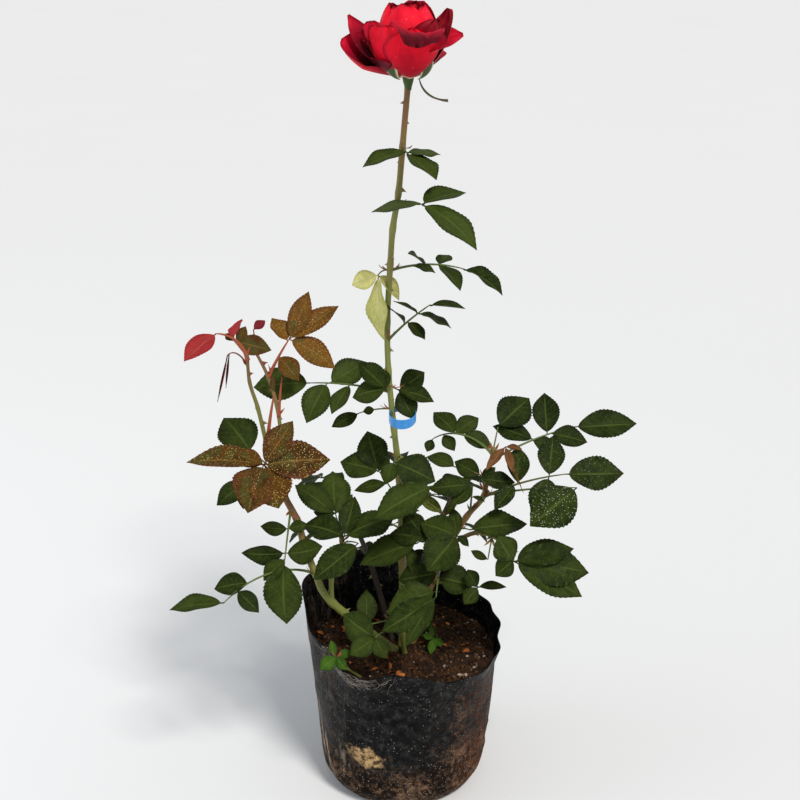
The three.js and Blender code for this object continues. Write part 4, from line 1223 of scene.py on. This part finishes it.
def petal_finish():
    """Velvety crimson with fine veins and a pale claw: bright scarlet outside and dark within, in
    part painted light and shade, with painted shade from the petal marks and painted highlight patches.
    """
    f = Finish("crimson_petal", 0.6, Sheen_Weight=0.25, Sheen_Roughness=0.45,
               Sheen_Tint=(1.0, 0.15, 0.2), Specular_IOR_Level=0.12)
    along, around, folded, across = f.skin_place()
    back = f.math("GREATER_THAN", around, 0.5)
    flow = f.node("ShaderNodeCombineXYZ", f.times(folded, 90.0), f.times(along, 3.0),
                  f.mark("tint")).outputs[0]
    fibres = f.noise(1.0, 4.0, place=flow)
    cloud = f.noise(45.0, 4.0)
    # darker velvet inside, darkened towards the foot as painted shade deep in the bloom
    within = f.mix(f.band(along, 0.3, 1.0), (0.10, 0.0, 0.006), (0.62, 0.003, 0.03))
    # painted shade: the inside darkened by the petal's mark
    within = f.mix(f.times(f.mark("inner_dark"), 0.9), within, (0.035, 0.0, 0.004))
    # the outside set bright as the sunlit face, painted light in part; darker towards its foot
    outside = f.mix(f.band(along, 0.1, 0.7), (0.34, 0.0, 0.012), (0.9, 0.004, 0.026))
    # painted shade: the outside darkened by the petal's mark
    outside = f.mix(f.mark("outer_dark"), outside, (0.06, 0.0, 0.007))
    colour = f.mix(back, within, outside)
    colour = f.mix(f.times(f.band(cloud, 0.45, 0.7), 0.5), colour, (0.26, 0.0, 0.012))
    lit = f.minus(1.0, f.mark("inner_dark"))
    # painted highlight: pinkish light patches, kept off the painted shade
    painted_highlight = f.times(f.band(f.noise(32.0, 3.0), 0.52, 0.72), lit)
    colour = f.mix(f.times(painted_highlight, 0.3), colour, (0.95, 0.05, 0.10))
    colour = f.mix(f.times(f.band(fibres, 0.55, 0.75), 0.3), colour, (0.2, 0.0, 0.01))
    # darker margin and tip: the petal's own darker edge, strengthened as painted shade where petals
    # overlap
    rim = f.math("MAXIMUM", f.band(along, 0.95, 1.0), f.band(across, 0.75, 1.0))
    colour = f.mix(f.times(rim, 0.55), colour, (0.12, 0.0, 0.01))
    colour = f.mix(f.band(along, 0.12, 0.03), colour, (0.75, 0.66, 0.42))
    drops = f.dots(420.0, 0.14, 0.12)
    colour = f.mix(f.times(drops, 0.6), colour, (0.9, 0.5, 0.5))
    f.set("Base Color", colour)
    f.bump(f.plus(fibres, f.noise(600.0, 2.0)), 0.0004, 0.5)
    return f.material


def sepal_finish():
    """Green sepals and hip with a whitish downy margin."""
    f = Finish("sepal_green", 0.5, Specular_IOR_Level=0.2)
    across = f.skin_place()[3]
    cloud = f.noise(140.0, 4.0)
    colour = f.mix(cloud, (0.03, 0.065, 0.014), (0.085, 0.13, 0.035))
    flushed = f.times(f.mark("red"), f.band(cloud, 0.3, 0.6))
    colour = f.mix(flushed, colour, (0.05, 0.022, 0.012))
    margin = f.times(f.band(across, 0.6, 0.85), f.mark("margin"))
    f.set("Base Color", f.mix(margin, colour, (0.62, 0.56, 0.36)))
    f.bump(f.noise(700.0, 3.0), 0.0003, 0.5)
    return f.material


def band_finish():
    """Bright blue plastic strip, faintly streaked and scuffed."""
    f = Finish("blue_plastic", 0.32, Coat_Weight=0.2)
    streak = f.noise(240.0, 3.0, stretch=(1, 1, 4))
    colour = f.mix(streak, (0.01, 0.19, 0.62), (0.08, 0.42, 0.9))
    f.set("Base Color", colour)
    f.bump(streak, 0.0002, 0.5)
    return f.material


def film_finish():
    """Black polythene: satin where clean, with a painted sheen; brown mud low down and to the right,
    with a painted reddish rim light at the far right; pale streaks to the left, one tan patch at the
    front left and pale specks."""
    f = Finish("black_film", 0.4, Specular_IOR_Level=0.09)
    place = f.node("ShaderNodeSeparateXYZ", f.object_place)
    x, y, z = place.outputs[0], place.outputs[1], place.outputs[2]
    low = f.times(f.band(z, 0.068, 0.02), 0.85)
    right = f.times(f.band(x, 0.005, 0.06), f.band(z, 0.15, 0.09))
    left = f.band(x, -0.035, -0.066)
    sides = f.plus(f.times(right, 0.48), f.times(left, 0.3))
    cover = f.plus(low, sides)
    fine = f.noise(230.0, 6.0, 0.75)
    smear = f.noise(60.0, 6.0, 0.7, stretch=(1.0, 1.0, 2.4))
    cloud = f.plus(f.times(smear, 0.75), f.times(fine, 0.25))
    mud = f.band(f.plus(cloud, f.times(cover, 0.5)), 0.58, 0.95)
    # painted sheen: lighter grey patches in the black film's colour
    sheen = f.band(f.noise(150.0, 8.0, 0.78), 0.46, 0.68)
    colour = f.mix(sheen, (0.001, 0.001, 0.001), (0.034, 0.032, 0.031))
    clump = f.plus(f.times(fine, 0.6), f.times(f.noise(48.0, 5.0), 0.4))
    earth = f.mix(f.band(clump, 0.44, 0.66), (0.006, 0.003, 0.0015), (0.20, 0.115, 0.068))
    # painted rim light: a reddish glow painted on the mud at the far right edge
    painted_rim_light = f.times(f.band(x, 0.03, 0.07), f.band(f.noise(140.0, 4.0), 0.35, 0.6))
    earth = f.mix(f.times(painted_rim_light, 0.7), earth, (0.10, 0.032, 0.012))
    colour = f.mix(mud, colour, earth)
    streaks = f.band(f.noise(85.0, 6.0, 0.7, stretch=(1.6, 1.6, 0.4)), 0.50, 0.68)
    height = f.math("MULTIPLY_ADD", f.band(z, 0.095, 0.06), 0.85, 0.15)
    pale = f.times(f.times(streaks, left), height)
    colour = f.mix(pale, colour, (0.5, 0.38, 0.29))
    patch_place = f.node("ShaderNodeMapping", f.object_place, (0.032, 0.068, -0.088), None,
                         (1.0, 1.0, 1.7)).outputs[0]
    away = f.node("ShaderNodeVectorMath", patch_place, operation="LENGTH").outputs["Value"]
    wobble = f.times(f.minus(f.noise(95.0, 6.0, 0.75), 0.5), 0.045)
    ragged = f.plus(away, wobble)
    tan = f.band(ragged, 0.0185, 0.0125)
    dry = f.mix(f.band(f.noise(260.0, 5.0, 0.7), 0.38, 0.62), (0.06, 0.035, 0.018), (0.55, 0.36, 0.17))
    colour = f.mix(tan, colour, dry)
    specks = f.plus(f.times(f.dots(420.0, 0.2, 0.3), 0.45),
                    f.times(f.dots(520.0, 0.22, 0.35), f.times(mud, 0.55)))
    colour = f.mix(specks, colour, (0.6, 0.55, 0.5))
    f.set("Base Color", colour)
    dull = f.math("MAXIMUM", f.math("MAXIMUM", mud, pale), tan)
    f.set("Roughness", f.math("MULTIPLY_ADD", dull, 0.45, 0.38))
    relief = f.plus(f.noise(55.0, 7.0, 0.6), f.times(f.noise(330.0, 4.0), 0.25))
    f.bump(f.plus(relief, f.times(dull, 0.25)), 0.003, 0.8)
    return f.material


def earth_finish(name, dark, light, roughness=0.95):
    """Moist soil, grit and litter: two tones in small clouds, dealt out by the tint mark too."""
    f = Finish(name, roughness, Specular_IOR_Level=0.25)
    cloud = f.noise(420.0, 6.0, 0.65)
    slow = f.noise(60.0, 3.0)
    share = f.plus(f.times(cloud, 0.6), f.times(slow, 0.5))
    share = f.plus(share, f.times(f.minus(f.mark("tint"), 0.5), 0.5))
    f.set("Base Color", f.mix(f.band(share, 0.32, 0.82), dark, light))
    f.bump(f.noise(900.0, 5.0, 0.7), 0.001, 0.8)
    return f.material


# ---- building ------------------------------------------------------------------------------

LITTER_SCRAPS = 26


def litter_skins(places, seed, size):
    """Dry leaf scraps lying on the soil: small leaflets with level faces, tilted at random."""
    dice = np.random.default_rng(SEED + seed)
    x, y = np.array(places, float).T
    root = np.stack([x, y, soil_height(x, y) + 1.5], -1)
    along = direction(dice.uniform(0, 360, len(x)), dice.uniform(-5, 15, len(x)))
    up = unit(np.array([0, -0.4, 1.0]) + dice.normal(0, 0.3, (len(x), 3)))
    side = unit(np.cross(up, along))
    rows = (root, along, side, np.cross(along, side), dice.uniform(0.6, 1, len(x)) * size,
            dice.uniform(0.35, 0.7, len(x)))
    habit = leaf_habit(len(x), 0.5, 0.9)
    return leaf_skins(rows, habit, {"tint": dice.uniform(0, 1, len(x)), "speckle": np.zeros(len(x))})


def near_right_rim(dice, count):
    """Places along the soil's right edge."""
    turn = dice.uniform(-0.9, 0.35, count)
    far = dice.uniform(65, 74, count)
    return far * np.cos(turn), far * np.sin(turn)


def make_soil(litter):
    """The soil with its crumbs, pale grit, and dry scraps both spread and gathered in heaps."""
    soil = earth_finish("red_brown_soil", (0.010, 0.004, 0.0015), (0.115, 0.048, 0.015))
    make_piece("soil_surface", [soil_skin(), crumbs(1900, 2.2, 11)], soil,
               ["soil"])
    grit = earth_finish("pale_grit", (0.10, 0.07, 0.05), (0.50, 0.38, 0.30), 0.85)
    bits = [crumbs(80, 1.9, 12), crumbs(22, 2.6, 13, near_right_rim)]
    make_piece("pale_grit_bits", bits, grit)
    dice = np.random.default_rng(SEED + 14)
    turn = dice.uniform(0, TAU, LITTER_SCRAPS)
    far = np.sqrt(dice.uniform(0.05, 0.9, LITTER_SCRAPS)) * 74
    spread = np.stack([far * np.cos(turn), far * np.sin(turn)], -1)
    gathered = [(-2, -42), (2, -46), (-5, -49), (24, 22), (29, 26)]
    make_piece("dry_scraps", [litter_skins(spread, 15, 9), litter_skins(gathered, 16, 11)], litter)


def make_bag():
    """The grow bag and the dry roots that cling to its rim."""
    make_piece("grow_bag_film", [bag_skin()], film_finish(), ["grow_bag"])
    root = earth_finish("pale_root", (0.11, 0.09, 0.075), (0.42, 0.37, 0.32), 0.8)
    make_piece("dry_rim_roots", [fibre_skins()], root)


def build_plant():
    """The finishes, then every leaf, stalk, cane, petal and the band."""
    finishes = {
        "green": leaf_finish("green_blade", (0.003, 0.008, 0.001), (0.055, 0.078, 0.012),
                             (0.09, 0.125, 0.024), (0.045, 0.07, 0.018), (0.6, 0.66, 0.45)),
        "fresh": leaf_finish("fresh_blade", (0.012, 0.045, 0.004), (0.075, 0.16, 0.015),
                             (0.16, 0.26, 0.04), (0.06, 0.12, 0.02), (0.6, 0.7, 0.4)),
        "bronze": leaf_finish("bronze_blade", (0.016, 0.008, 0.002), (0.19, 0.083, 0.012),
                              (0.25, 0.14, 0.03), (0.12, 0.04, 0.028), (0.8, 0.58, 0.2),
                              patch=(0.06, 0.06, 0.014), speck_share=0.9, edge=(0.09, 0.018, 0.006)),
        "red": leaf_finish("red_blade", (0.24, 0.012, 0.014), (0.46, 0.05, 0.05),
                           (0.42, 0.10, 0.07), (0.36, 0.09, 0.08), (0.8, 0.6, 0.5)),
        "crimson": leaf_finish("crimson_blade", (0.10, 0.006, 0.012), (0.25, 0.02, 0.03),
                               (0.3, 0.06, 0.05), (0.2, 0.03, 0.03), (0.8, 0.6, 0.5)),
        "withered": leaf_finish("withered_blade", (0.04, 0.005, 0.005), (0.10, 0.012, 0.010),
                                (0.12, 0.03, 0.02), (0.07, 0.012, 0.010), (0.3, 0.2, 0.15)),
        "brown": leaf_finish("brown_bract", (0.06, 0.016, 0.006), (0.28, 0.125, 0.04),
                             (0.45, 0.28, 0.13), (0.20, 0.08, 0.035), (0.5, 0.4, 0.3)),
        "striped": leaf_finish("striped_blade", (0.02, 0.03, 0.004), (0.20, 0.22, 0.03),
                               (0.55, 0.58, 0.16), (0.10, 0.13, 0.03), (0.6, 0.66, 0.45)),
        "yellow": leaf_finish("yellow_blade", (0.30, 0.32, 0.06), (0.95, 0.88, 0.34),
                              (0.80, 0.78, 0.34), (0.5, 0.5, 0.18), (0.9, 0.9, 0.6)),
    }
    make_leaves(finishes)
    stalk = stalk_finish("leaf_stalk", (0.10, 0.14, 0.03), (0.34, 0.075, 0.03))
    bark = stalk_finish("cane_bark", (0.19, 0.21, 0.045), (0.19, 0.085, 0.032))
    # painted shade: near-black bark for the canes at the back
    painted_shade_bark = stalk_finish("painted_shade_bark", (0.035, 0.026, 0.014), (0.04, 0.018, 0.01))
    prickle = stalk_finish("prickle_horn", (0.22, 0.22, 0.08), (0.22, 0.05, 0.03))
    make_stalks(stalk)
    make_canes(bark, painted_shade_bark, prickle)
    make_bloom(petal_finish(), sepal_finish())
    make_band(band_finish())


# ---- stage, light and camera ---------------------------------------------------------------


def make_floor():
    """A plain pale floor that reaches past the picture on every side."""
    mesh = bpy.data.meshes.new("floor")
    reach = 30.0
    corners = [(-reach, -reach, 0), (reach, -reach, 0), (reach, reach, 0), (-reach, reach, 0)]
    mesh.from_pydata(corners, [], [(0, 1, 2, 3)])
    f = Finish("pale_floor", 0.9, Specular_IOR_Level=0.1)
    f.set("Base Color", f.mix(f.noise(1.5, 2.0), (0.80, 0.80, 0.80), (0.82, 0.82, 0.82)))
    mesh.materials.append(f.material)
    floor = bpy.data.objects.new("floor", mesh)
    bpy.context.scene.collection.objects.link(floor)


def add_light(name, place, aim, size, power, colour):
    """A square area light at place, turned to aim at a point."""
    data = bpy.data.lights.new(name, "AREA")
    data.size = size
    data.energy = power
    data.color = colour
    lamp = bpy.data.objects.new(name, data)
    lamp.location = place
    lamp.rotation_euler = (Vector(aim) - Vector(place)).to_track_quat("-Z", "Y").to_euler()
    bpy.context.scene.collection.objects.link(lamp)


SKY_COLOUR = (0.93, 0.96, 1.0, 1)
SKY_STRENGTH = 0.5
SUN_STRENGTH = 2.3
SUN_SOFTNESS = math.radians(14)
SUN_COLOUR = (1.0, 0.98, 0.94)
SUN_TILT = math.radians(38)
SUN_TURN = math.radians(28)
SIDE_LIGHT_PLACE = (-1.6, -0.2, 0.8)
SIDE_LIGHT_AIM = (0, 0, 0.3)
SIDE_LIGHT_COLOUR = (0.75, 0.87, 1.0)


def light_scene():
    """A pale sky, a soft sun from the front right and above, and a weak cool light at the left."""
    world = bpy.data.worlds.new("studio")
    world.use_nodes = True
    backdrop = world.node_tree.nodes["Background"]
    backdrop.inputs["Color"].default_value = SKY_COLOUR
    backdrop.inputs["Strength"].default_value = SKY_STRENGTH
    bpy.context.scene.world = world
    sun = bpy.data.lights.new("sun", "SUN")
    sun.energy = SUN_STRENGTH
    sun.angle = SUN_SOFTNESS
    sun.color = SUN_COLOUR
    lamp = bpy.data.objects.new("sun", sun)
    lamp.rotation_euler = (SUN_TILT, 0, SUN_TURN)
    bpy.context.scene.collection.objects.link(lamp)
    add_light("side", SIDE_LIGHT_PLACE, SIDE_LIGHT_AIM, 1.0, 5, SIDE_LIGHT_COLOUR)
    bpy.context.scene.view_settings.view_transform = "Standard"


SENSOR_WIDTH = 36.0
FOCAL_PIXELS = 1302
PICTURE_PIXELS = 800
CAMERA_PLACE = (-0.002, -0.98, 0.70)
LOOK_DOWN = 20


def make_camera():
    """The camera stands in front at 0.98 m, 0.70 m up, and looks 20 degrees down."""
    data = bpy.data.cameras.new("camera")
    data.sensor_width = SENSOR_WIDTH
    data.lens = SENSOR_WIDTH * FOCAL_PIXELS / PICTURE_PIXELS
    camera = bpy.data.objects.new("camera", data)
    camera.location = CAMERA_PLACE
    camera.rotation_euler = (math.radians(90 - LOOK_DOWN), 0, 0)
    bpy.context.scene.collection.objects.link(camera)
    bpy.context.scene.camera = camera


make_camera()
build_plant()
make_bag()
make_soil(leaf_finish("dry_scrap", (0.12, 0.03, 0.01), (0.62, 0.20, 0.05), (0.6, 0.3, 0.12),
                      (0.30, 0.12, 0.05), (0.5, 0.4, 0.3)))
make_floor()
light_scene()
